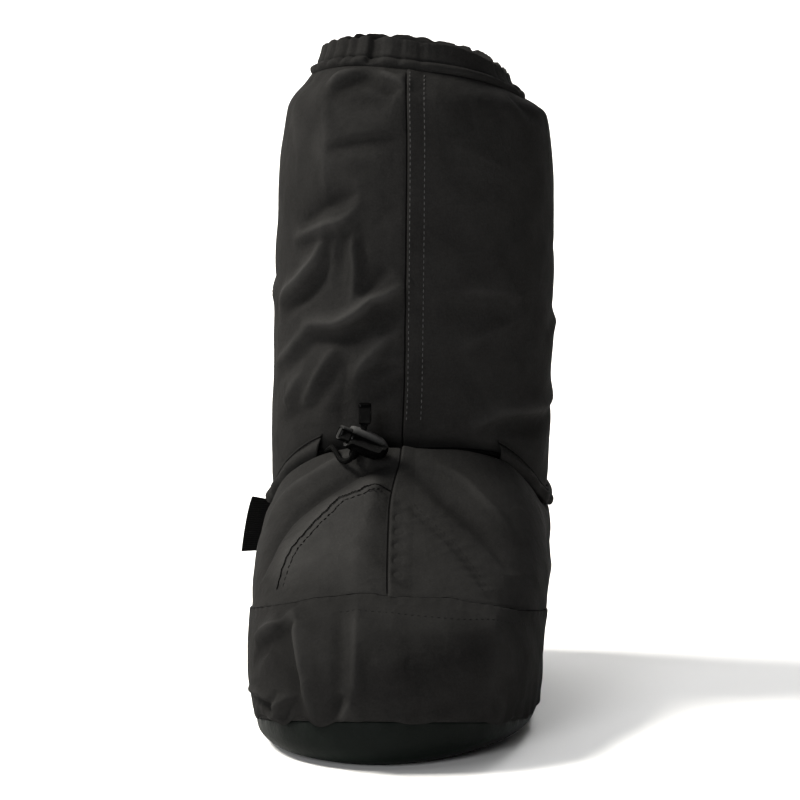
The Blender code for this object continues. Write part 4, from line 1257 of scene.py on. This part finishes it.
tunnel_line = smooth_path(TUNNEL_PROFILE, TUNNEL_ROWS)
tunnel_level, tunnel_lift = np.concatenate([tunnel_line, tunnel_line[::-1]]).T[..., None]
tunnel_wall = np.repeat([TUNNEL_WALL, TUNNEL_INSIDE], TUNNEL_ROWS)[:, None]
tunnel_high = step_up(tunnel_level, TUNNEL_PROFILE[0][0], TUNNEL_PROFILE[-1][0])
tunnel_last = np.radians(TUNNEL_STOP[0] + (TUNNEL_STOP[1] - TUNNEL_STOP[0]) * tunnel_high)
tunnel_first = math.radians(TUNNEL_START)
tunnel_share = np.linspace(0.0, 1.0, TUNNEL_COLUMNS)[None]
tunnel_turn = tunnel_first + tunnel_share * (tunnel_last - tunnel_first)
is_slack = tunnel_lift > TUNNEL_SLACK_ABOVE
tunnel_slack = TUNNEL_SLACK * uneven_wave(tunnel_turn, *TUNNEL_SLACK_WAVE) * is_slack
tunnel_off = LAP_GAP + tunnel_wall + np.maximum(tunnel_lift, 0.0) + tunnel_slack
tunnel_points = cloth_at(tunnel_level, tunnel_turn, tunnel_off)[0]
tunnel_weave = weave_of(tunnel_points, tunnel_slack)
tunnel_run = tunnel_weave[:, :, 1]
tunnel = add_piece(
    "cord_tunnel_cloth",
    tunnel_points,
    grid_faces(tunnel_points, close_rows=True, close_columns=False, capped=True),
    [shell_cloth],
    weave=tunnel_weave,
    # The seam fields paint shade as dark lines along the tunnel's lower and upper edges
    strip_edge=line_field(LOWER_SPREAD * (tunnel_run - LOWER_LINE)),
    toe_seam=line_field(tunnel_run[TUNNEL_ROWS - 1] - UPPER_LINE - tunnel_run),
)
put_on(tunnel, "shell", "cord_tunnel")


# Drawcord
# The drawcord is a braided elastic loop: from the cord end through the lock's eye, into the left
# mouth of the tunnel, round the heel, and along the front crease back to the lock.
CORD_RADIUS = 1.5
CORD_LEVEL = 11.62
CORD_LIFT = 2.7
CORD_FRONT_LEVEL = 11.3
CORD_FRONT_LIFT = 4.4
STRAND_APART = 3.5
STRAND_LIFTS = (4.0, 0.0, -4.0, -8.0)
LEFT_STRAND = ((-31.2, -100.0, 137.6), (-36.0, -93.5, 137.0), (-41.0, -82.0, 142.0))
RIGHT_STRAND = ((-28.8, -94.6, 138.6), (-24.5, -88.6, 142.6), (-18.8, -81.5, 143.6))
LOCK_PLACE = np.array([-26.0, -99.0, 148.5])
LOCK_AXIS = unit(np.array([-0.86, -0.28, 0.42]))
CORD_END_SIZE = np.array([7.0, 7.0, 11.5])
CORD_END_PLACE = np.array([-22.6, -97.8, 163.0])
CORD_END_GRIP = 0.5
# Turns in degrees: in the left crease, round the heel and in the front crease, with their points
CORD_LEFT_TURNS = (-30.0, -TUNNEL_START, 4)
CORD_HEEL_TURNS = (-50.0, -310.0, 19)
CORD_FRONT_TURNS = (TUNNEL_START, -8.0, 8)
CORD_ROWS = 620
CORD_AROUND = 14
FINE_POINTS = 4000
SHAFT_AXIS = (0.0, 30.0, 0.0)
# Braid: threads round the cord and radians per millimetre along it
BRAID_ROUND = 4.0
BRAID_ALONG = 3.4

lock_eye = unit(np.array([0.0, 0.0, 1.0]) - LOCK_AXIS[2] * LOCK_AXIS)
lock_across = np.cross(lock_eye, LOCK_AXIS)


def off_form(level, turn, lift):
    """Points that stand off the bare form."""
    return last_form(level, turn) + lift[:, None] * ways(level, turn)[0]


def crease_line(start, stop, count):
    """The cord in the front crease: it sinks and comes nearer the form towards the tunnel."""
    degrees = np.linspace(start, stop, count)
    share = np.minimum(np.abs(degrees) / TUNNEL_START, 1.0) ** 2
    level = CORD_FRONT_LEVEL + (CORD_LEVEL - CORD_FRONT_LEVEL) * share
    lift = CORD_FRONT_LIFT + (CORD_LIFT - CORD_FRONT_LIFT) * share
    return off_form(level, np.radians(degrees), lift)


def heel_line(start, stop, count):
    """The cord in the tunnel, at one level and stand-off."""
    turn = np.radians(np.linspace(start, stop, count))
    return off_form(np.full(count, CORD_LEVEL), turn, np.full(count, CORD_LIFT))


def read_at(at, run, values):
    """Rows of a table read at places on its run, on straight lines between them."""
    return np.stack([np.interp(at, run, column) for column in values.T], axis=-1)


def tube(path, radius, sides):
    """A round tube on a path; its frame leans on the way out from the shaft's axis."""
    along = unit(np.gradient(path, axis=0))
    radial = path * (1.0, 1.0, 0.0) + SHAFT_AXIS
    first = unit(radial - np.sum(radial * along, axis=1, keepdims=True) * along)
    second = np.cross(along, first)
    turn = full_turn(sides)[None, :, None]
    return path[:, None] + radius * (np.cos(turn) * first[:, None] + np.sin(turn) * second[:, None])


def braid_finish():
    """Braided elastic: threads cross in two spirals, matt black."""
    made, wire = new_finish("cord_braid", Specular_IOR_Level=0.01)
    round_way, along, _ = wire.field("weave")
    one = (round_way * BRAID_ROUND + along * BRAID_ALONG).sine()
    two = (round_way * BRAID_ROUND - along * BRAID_ALONG).sine()
    threads = (one * two).limit(-1.0, 1.0)
    colour = wire.blend(threads, grey(0.0010), grey(0.0034))
    feed(wire, Base_Color=colour, Roughness=0.75 - threads * 0.2, bump=threads * 0.00022)
    return made


cord_tail = CORD_END_PLACE - (0.0, 0.0, 0.5 * CORD_END_SIZE[2] - CORD_END_GRIP)
sides_apart = 0.5 * STRAND_APART * lock_across
strand_rise = np.array(STRAND_LIFTS)[:, None] * lock_eye
cord_route = np.vstack([
    cord_tail + sides_apart,
    LOCK_PLACE + sides_apart + strand_rise,
    LEFT_STRAND,
    crease_line(*CORD_LEFT_TURNS),
    heel_line(*CORD_HEEL_TURNS),
    crease_line(*CORD_FRONT_TURNS),
    RIGHT_STRAND[::-1],
    LOCK_PLACE - sides_apart + strand_rise[::-1],
    cord_tail - sides_apart,
])
fine_route = smooth_path(cord_route, FINE_POINTS)
fine_run = run_along(fine_route)
cord_at = np.linspace(0.0, fine_run[-1], CORD_ROWS)
cord_points = tube(read_at(cord_at, fine_run, fine_route), CORD_RADIUS, CORD_AROUND)
cord_weave = np.zeros(cord_points.shape)
cord_weave[..., 0] = full_turn(CORD_AROUND)
cord_weave[..., 1] = cord_at[:, None]
cord_faces = grid_faces(cord_points, capped=True)
cord = add_piece("drawcord_braid", cord_points, cord_faces, [braid_finish()], weave=cord_weave)
put_on(cord, "cord", "drawcord")


# Cord lock
# The lock is moulded black plastic: a rounded barrel with a bore and a cross eye for the cord,
# and a spring-loaded button that fills the bore and is pressed in to free the cord.
LOCK_FRONT = 6.0
LOCK_SIZE = 14.0
LOCK_POWER = 0.8
LOCK_EDGE = 0.3
LOCK_SIDES = 72
BUTTON_SIZE = (9.2, 8.2)
BUTTON_POWER = 0.5
BUTTON_INNER = -4.0
BUTTON_TRAVEL = 4.0
BUTTON_PLAY = 0.25
BORE_PAST = 1.0
EYE_SIZE = (4.4, 7.6)
BEVEL_ANGLE = math.radians(40.0)
SHARP_ANGLE = math.radians(42.0)
# Painted highlight on the lock's upper side: heights above the middle where it starts and is full, its
# grey and its share
HIGHLIGHT_FROM = 2.4
HIGHLIGHT_FULL = 5.2
HIGHLIGHT_GREY = 0.05
LOCK_TOP_HIGHLIGHT = 0.75

# Columns: place along the lock and share of its full section
LOCK_STATIONS = (
    (-17.0, 0.0), (-17.0, 0.42), (-15.5, 0.68), (-12.0, 0.92), (-7.0, 1.0), (1.0, 0.98), (5.0, 0.9),
    (LOCK_FRONT, 0.84), (LOCK_FRONT, 0.0),
)
BUTTON_STATIONS = (
    (BUTTON_INNER, 0.0), (BUTTON_INNER, 1.0), (4.0, 1.0), (10.8, 1.0), (11.7, 0.93), (12.0, 0.8),
    (12.0, 0.0),
)


def squared(value, power):
    """A sine or cosine with its sign, raised to a power: the lower it is, the nearer to a box."""
    return np.sign(value) * np.abs(value) ** power


def add_lock_form(name, stations, size, power, finishes=()):
    """A solid along the lock's axis through scaled copies of one section between oval and box."""
    place, scale = np.array(stations).T[..., None, None]
    turn = full_turn(LOCK_SIDES)[:, None]
    flat = 0.5 * size[0] * squared(np.cos(turn), power) * lock_across
    flat = flat + 0.5 * size[1] * squared(np.sin(turn), power) * lock_eye
    points = LOCK_PLACE + place * LOCK_AXIS + scale * flat
    return add_piece(name, points, grid_faces(points), finishes)


def more_stations(stations, count):
    """More stations on straight lines between those given, so that edges stay where they are."""
    at = np.linspace(0.0, len(stations) - 1.0, (len(stations) - 1) * count + 1)
    return read_at(at, np.arange(len(stations)), np.array(stations))


def add_cutter_box(half_along, half_across, shift):
    """A box through the lock along its eye, as a cutter."""
    corner = np.array([[-1, -1], [1, -1], [1, 1], [-1, 1]], float)
    ring = (corner[:, :1] * half_along + shift) * LOCK_AXIS + corner[:, 1:] * half_across * lock_across
    ends = LOCK_PLACE + ring + np.array([-LOCK_SIZE, LOCK_SIZE])[:, None, None] * lock_eye
    return add_piece("cutter", ends, grid_faces(ends, capped=True))


def carve(piece, cutters, edge):
    """Cuts the cutters out of a piece for good and rounds its sharp edges a little."""
    for cutter in cutters:
        step = piece.modifiers.new("carve", "BOOLEAN")
        step.operation = "DIFFERENCE"
        step.solver = "EXACT"
        step.object = cutter
    soften = piece.modifiers.new("soften", "BEVEL")
    soften.width = edge * MM
    soften.segments = 3
    soften.limit_method = "ANGLE"
    soften.angle_limit = BEVEL_ANGLE
    shaped = piece.evaluated_get(bpy.context.evaluated_depsgraph_get())
    piece.data = bpy.data.meshes.new_from_object(shaped)
    piece.modifiers.clear()
    piece.data.shade_smooth()
    piece.data.set_sharp_from_angle(angle=SHARP_ANGLE)
    for cutter in cutters:
        bpy.data.objects.remove(cutter, do_unlink=True)


def plastic_finish(name, rough, coat, worn=0.0):
    """Moulded plastic: near black, lightly textured, with fine rubbing marks.

    Worn is the share of a painted highlight that greys the lock's upper side: it grows with the height
    along the lock's eye.
    """
    made, wire = new_finish(name, Specular_IOR_Level=0.0, Coat_Roughness=0.10)
    place = wire.place()
    skin = wire.noise(place, scale=1500.0, detail=2.0, roughness=0.5)
    wear_and_highlight = wire.noise(place, scale=240.0, detail=4.0, roughness=0.65)
    colour = wire.blend(wear_and_highlight.limit(0.45, 0.7), grey(0.0008), grey(0.0020))
    if worn:
        # Painted highlight: the lock's upper side is painted grey
        along_eye = wire.node("VectorMath", [place, tuple(lock_eye)], output=1, operation="DOT_PRODUCT")
        eye_middle = float(LOCK_PLACE @ lock_eye)
        upper = along_eye.limit((eye_middle + HIGHLIGHT_FROM) * MM, (eye_middle + HIGHLIGHT_FULL) * MM)
        colour = wire.blend(upper * (worn + wear_and_highlight * 0.3), colour, grey(HIGHLIGHT_GREY))
    rough = rough + wear_and_highlight * 0.18
    feed(wire, Base_Color=colour, Roughness=rough, Coat_Weight=coat + wear_and_highlight * 0.04, bump=skin * 0.00003)
    return made


lock_black = plastic_finish("lock_plastic", rough=0.24, coat=0.10, worn=LOCK_TOP_HIGHLIGHT)
lock_body = add_lock_form(
    "cord_lock_barrel", more_stations(LOCK_STATIONS, 3), (LOCK_SIZE, LOCK_SIZE), LOCK_POWER, [lock_black]
)
bore_end = BUTTON_INNER - BUTTON_TRAVEL - 2.0 * BUTTON_PLAY
bore_mouth = LOCK_FRONT + BORE_PAST
bore_size = [side + 2.0 * BUTTON_PLAY for side in BUTTON_SIZE]
bore_stations = ((bore_end, 0.0), (bore_end, 1.0), (bore_mouth, 1.0), (bore_mouth, 0.0))
bore = add_lock_form("bore", bore_stations, bore_size, BUTTON_POWER)
eye = add_cutter_box(0.5 * EYE_SIZE[0], 0.5 * EYE_SIZE[1], 0.0)
carve(lock_body, [bore, eye], LOCK_EDGE)
put_on(lock_body, "lock", "cord_lock_body")

button = add_lock_form(
    "cord_lock_plunger", more_stations(BUTTON_STATIONS, 2), BUTTON_SIZE, BUTTON_POWER, [lock_black]
)
slot = add_cutter_box(0.5 * (EYE_SIZE[0] + BUTTON_TRAVEL), 0.5 * EYE_SIZE[1], 0.5 * BUTTON_TRAVEL)
carve(button, [slot], LOCK_EDGE)
put_on(button, "lock", "cord_lock_button", body="lock_button")


# Cord end
# The cord end is a moulded block with rounded edges that grips both tails of the cord.
END_POWER = 0.28
END_ROWS = 40
END_AROUND = 56

end_polar = np.linspace(-0.5 * math.pi, 0.5 * math.pi, END_ROWS)[:, None]
end_turn = full_turn(END_AROUND)[None]
end_flat = squared(np.cos(end_polar), END_POWER)
end_form = np.stack(np.broadcast_arrays(
    end_flat * squared(np.cos(end_turn), END_POWER),
    end_flat * squared(np.sin(end_turn), END_POWER),
    squared(np.sin(end_polar), END_POWER),
), axis=-1)
end_points = CORD_END_PLACE + 0.5 * CORD_END_SIZE * end_form
end_black = plastic_finish("cord_end_plastic", rough=0.40, coat=0.04)
cord_end = add_piece("cord_end_block", end_points, grid_faces(end_points), [end_black])
put_on(cord_end, "lock", "cord_end")


# Side tab
# The tab is a folded length of black webbing caught in the outer side seam; its free end is the
# fold and stands out from the shoe.
TAB_PLACE = 12.0
TAB_LEVELS = (4.3, 9.3)
TAB_THICK = 2.2
TAB_TOP_X = -94.0
TAB_BOTTOM_X = -100.5
TAB_TOP_RISE = 2.5
TAB_BOTTOM_RISE = -1.5
TAB_BOW = 1.2
TAB_ROWS = 48
TAB_COLUMNS = 30
FOLD_START = 0.93
FOLD_STEPS = 9


def webbing_finish():
    """Woven tape: ribs across it, dull black."""
    made, wire = new_finish("tab_webbing", Specular_IOR_Level=0.005)
    place = wire.place()
    ribs = {"Vector": place, "Scale": 260.0, "Distortion": 0.6}
    rib = wire.node("TexWave", ribs, output=1, bands_direction="Z")
    soft = wire.noise(place, scale=120.0, detail=3.0, roughness=0.5)
    colour = wire.blend(rib, grey(0.0018), grey(0.0042))
    feed(wire, Base_Color=colour, Roughness=0.78 + soft * 0.15, bump=rib * 0.00018)
    return made


tab_share = np.linspace(0.0, 1.0, TAB_ROWS)[:, None]
tab_level = TAB_LEVELS[0] + tab_share * (TAB_LEVELS[1] - TAB_LEVELS[0])
tab_row = rows_between(LAST, tab_level)
tab_front, tab_back = tab_row[..., 0], tab_row[..., 1]
tab_turn = -np.arccos((tab_front + tab_back - 2.0 * TAB_PLACE) / (tab_back - tab_front))
tab_root = last_form(tab_level, tab_turn) + 2.0 * LAP_GAP * ways(tab_level, tab_turn)[0]
tab_tip = tab_root.copy()
tab_tip[..., 0] = TAB_BOTTOM_X + tab_share * (TAB_TOP_X - TAB_BOTTOM_X)
tab_tip[..., 2] += TAB_BOTTOM_RISE + tab_share * (TAB_TOP_RISE - TAB_BOTTOM_RISE)
tab_out = np.linspace(0.0, FOLD_START, TAB_COLUMNS)
fold = np.linspace(-0.5 * math.pi, 0.5 * math.pi, FOLD_STEPS)
out_share = np.concatenate([tab_out, FOLD_START + (1.0 - FOLD_START) * np.cos(fold), tab_out[::-1]])
side_share = np.concatenate([np.full(TAB_COLUMNS, -1.0), np.sin(fold), np.full(TAB_COLUMNS, 1.0)])
tab_points = tab_root + out_share[None, :, None] * (tab_tip - tab_root)
tab_points[..., 1] += 0.5 * TAB_THICK * side_share
tab_points[..., 1] += TAB_BOW * np.sin(math.pi * tab_share) * out_share**2
tab_faces = [face[::-1] for face in grid_faces(tab_points, capped=True)]
tab = add_piece("side_tab_webbing", tab_points, tab_faces, [webbing_finish()])
put_on(tab, "webbing", "side_tab")


# Stitches
# Thread shows as short raised stitches: two pale rows on the shaft's strip, and dark ones on the
# double arch seams, the toe band and both edges of the cord tunnel.
STITCH_SIDES = 6
STITCH_RINGS = 5
# Stitches of each seam: pitch, length and radius
PLACKET_STITCH = (3.2, 2.2, 0.26)
TUNNEL_STITCH = (3.2, 2.3, 0.28)
BAND_STITCH = (3.4, 2.5, 0.26)
# Outer and inner row of the double seams: pitch, length, radius and stand-off
ARCH_STITCHES = {
    "left": ((2.0, 2.5, 0.34, 0.0), (3.4, 2.5, 0.30, 0.05)),
    "right": ((3.2, 2.3, 0.26, 0.0), (3.6, 2.3, 0.24, 0.0)),
}
# Rows on the shaft's strip: levels and points, then how far in from its left edge and stand-off
PLACKET_LEVELS = (12.3, 16.96, 500)
PLACKET_ROWS = ((1.4, STRIP_THICK - 0.15), (9.2, 0.28))
# Row on the toe band: turn in degrees and level
BAND_ROW = ((-11.6, 3.69), (0.0, 3.66), (11.6, 3.57), (25.6, 3.39), (43.2, 3.27), (60.0, 3.20))
BAND_ROW_POINTS = 400
BAND_SUNK = 0.1
# Rows on the tunnel: levels, turns in degrees, points and stand-off
TUNNEL_SEAMS = (11.2, 12.04)
TUNNEL_SEAM_TURNS = (TUNNEL_START + 1.0, TUNNEL_STOP[1] - 2.0, 900)
TUNNEL_SEAM_OFF = LAP_GAP + TUNNEL_WALL + 0.2


def stitch_row(level, turn, pitch, length, radius, off, shift=0.0):
    """Capsules of thread along a path of level and turn, half sunk in the cloth.

    Each is a ring at five places whose radius swells from nothing at its ends; shift moves the
    row sideways on the cloth.
    """
    here, out, _ = cloth_at(level, turn, off)
    along = unit(np.gradient(here, axis=0))
    here = here + shift * np.cross(out, along)
    run = run_along(here)
    middle = np.arange(0.5 * pitch, run[-1] - 0.5 * pitch, pitch)
    share = np.linspace(-1.0, 1.0, STITCH_RINGS)
    at = middle[:, None] + 0.5 * length * share[None]
    normal = unit(read_at(at, run, out))
    side = np.cross(unit(read_at(at, run, along)), normal)
    sunk = 0.5 * radius * (1.0 - 2.0 * share**2)
    centre = read_at(at, run, here) + sunk[None, :, None] * normal
    turns = full_turn(STITCH_SIDES)[:, None]
    ring = np.cos(turns) * normal[..., None, :] + np.sin(turns) * side[..., None, :]
    swell = radius * np.sqrt(np.maximum(1.0 - share**2, 0.0))
    points = centre[..., None, :] + swell[None, :, None, None] * ring
    faces = np.array(grid_faces(points[0]))
    starts = np.arange(len(middle))[:, None, None] * (STITCH_RINGS * STITCH_SIDES)
    return points.reshape(-1, 3), (faces[None] + starts).reshape(-1, 4)


def arch_rows(side):
    """The two rows of a double seam, one on each side of its line."""
    outer, inner = ARCH_STITCHES[side]
    path = arch_paths[side]
    return [stitch_row(*path, *outer, -TWIN_HALF), stitch_row(*path, *inner, TWIN_HALF)]


def thread_finish(name, dark, light):
    """Twisted thread between two greys."""
    made, wire = new_finish(name, Specular_IOR_Level=0.02)
    twist = wire.noise(wire.place(), scale=1200.0, detail=2.0, roughness=0.5)
    feed(wire, Base_Color=wire.blend(twist, grey(dark), grey(light)), Roughness=0.6 + twist * 0.2)
    return made


def sew(name, rows, finish):
    """One piece out of several rows of stitches."""
    starts = np.cumsum([0] + [len(points) for points, _ in rows])
    faces = np.concatenate([faces + start for (_, faces), start in zip(rows, starts)])
    piece = add_piece(name, np.concatenate([points for points, _ in rows]), faces.tolist(), [finish])
    put_on(piece, "shell")


placket_level = even_levels(*PLACKET_LEVELS)
placket_left = strip_edge(placket_level, 1)
placket_rows = [
    stitch_row(placket_level, turn_at(placket_level, placket_left + row_in), *PLACKET_STITCH, stand)
    for row_in, stand in PLACKET_ROWS
]
sew("placket_stitches", placket_rows, thread_finish("pale_thread", 0.032, 0.075))

tunnel_turns = np.radians(np.linspace(*TUNNEL_SEAM_TURNS))
tunnel_rows = [
    stitch_row(np.full_like(tunnel_turns, level), tunnel_turns, *TUNNEL_STITCH, TUNNEL_SEAM_OFF)
    for level in TUNNEL_SEAMS
]
sew("dark_stitches", arch_rows("left") + tunnel_rows, thread_finish("dark_thread", 0.0012, 0.004))

band_degrees, band_row_level = smooth_path(BAND_ROW, BAND_ROW_POINTS).T
band_row = stitch_row(band_row_level, np.radians(band_degrees), *BAND_STITCH, BAND_OFF - BAND_SUNK)
sew("faint_stitches", [band_row] + arch_rows("right"), thread_finish("faint_thread", 0.003, 0.006))


# Studio
# A pale floor sweeps up into a backdrop. The key comes from the upper left like a window, with weak
# light from the front, from above and from behind on the right, and a wash on the backdrop. The
# camera keeps the angle at which the shoe was photographed. Lengths here are metres.
FLOOR_FRONT = -4.0
FLOOR_BACK = 1.6
SWEEP_RADIUS = 0.9
SWEEP_STEPS = 16
BACKDROP_TOP = 4.0
FLOOR_HALF = 5.0
CAMERA_PLACE = (0.0834, -2.0, 0.40)
CAMERA_AIM = (-0.004, -0.085, 0.1690)
PICTURE_PIXELS = 800.0
FOCAL_PIXELS = 3527.0
SENSOR = 36.0
AIR_GLOW = 0.02
SHOE_MIDDLE = (0.0, -0.05, 0.18)
BACKDROP_MIDDLE = (0.0, 2.5, 0.5)
WHITE = (1.0, 1.0, 1.0)

# Columns: name, place, width and height, watts, colour, target
LIGHTS = (
    ("key_window", (-2.0, 0.10, 2.5), (1.0, 1.0), 256.0, (1.0, 0.97, 0.90), SHOE_MIDDLE),
    ("front_fill", (-1.0, -2.95, 1.0), (1.0, 1.0), 47.0, (0.985, 0.99, 1.0), SHOE_MIDDLE),
    ("top_soft", (-0.7, -0.4, 2.6), (1.8, 1.8), 14.0, WHITE, SHOE_MIDDLE),
    ("back_right", (0.9, 2.2, 2.4), (0.6, 0.6), 36.0, WHITE, SHOE_MIDDLE),
    ("backdrop_wash", (0.0, 1.3, 2.9), (3.0, 0.8), 34.0, WHITE, BACKDROP_MIDDLE),
)


def floor_finish():
    """Matt pale paper with a faint unevenness."""
    made, wire = new_finish("pale_floor", Roughness=0.9, Specular_IOR_Level=0.1)
    soft = wire.noise(wire.place(), scale=0.8, detail=2.0, roughness=0.5)
    feed(wire, Base_Color=wire.blend(soft, grey(0.80), grey(0.84)))
    return made


def add_to_scene(name, data, place, target):
    """Sets a light or the camera at a place, looking at a target with its top up."""
    thing = bpy.data.objects.new(name, data)
    bpy.context.scene.collection.objects.link(thing)
    thing.location = place
    thing.rotation_euler = (Vector(target) - Vector(place)).to_track_quat("-Z", "Y").to_euler()
    return thing


bend = np.linspace(0.0, 0.5 * math.pi, SWEEP_STEPS)
sweep_back = FLOOR_BACK + SWEEP_RADIUS
sweep_y = np.concatenate([[FLOOR_FRONT], FLOOR_BACK + SWEEP_RADIUS * np.sin(bend), [sweep_back]])[:, None]
sweep_z = np.concatenate([[0.0], SWEEP_RADIUS * (1.0 - np.cos(bend)), [BACKDROP_TOP]])[:, None]
sweep_x = np.array([[-FLOOR_HALF, FLOOR_HALF]])
sweep = np.stack(np.broadcast_arrays(sweep_x, sweep_y, sweep_z), axis=-1)
floor = add_piece("floor", sweep / MM, grid_faces(sweep, close_columns=False), [floor_finish()])

for light_name, place, size, watts, colour, target in LIGHTS:
    lamp = bpy.data.lights.new(light_name, "AREA")
    lamp.shape = "RECTANGLE"
    lamp.size, lamp.size_y = size
    lamp.energy = watts
    lamp.color = colour
    add_to_scene(light_name, lamp, place, target)

world = bpy.data.worlds.new("studio_air")
world.use_nodes = True
air = world.node_tree.nodes["Background"]
air.inputs["Color"].default_value = (*WHITE, 1.0)
air.inputs["Strength"].default_value = AIR_GLOW
bpy.context.scene.world = world
bpy.context.scene.view_settings.view_transform = "Standard"

lens = bpy.data.cameras.new("camera")
lens.sensor_width = SENSOR
lens.lens = SENSOR * FOCAL_PIXELS / PICTURE_PIXELS
bpy.context.scene.camera = add_to_scene("camera", lens, CAMERA_PLACE, CAMERA_AIM)
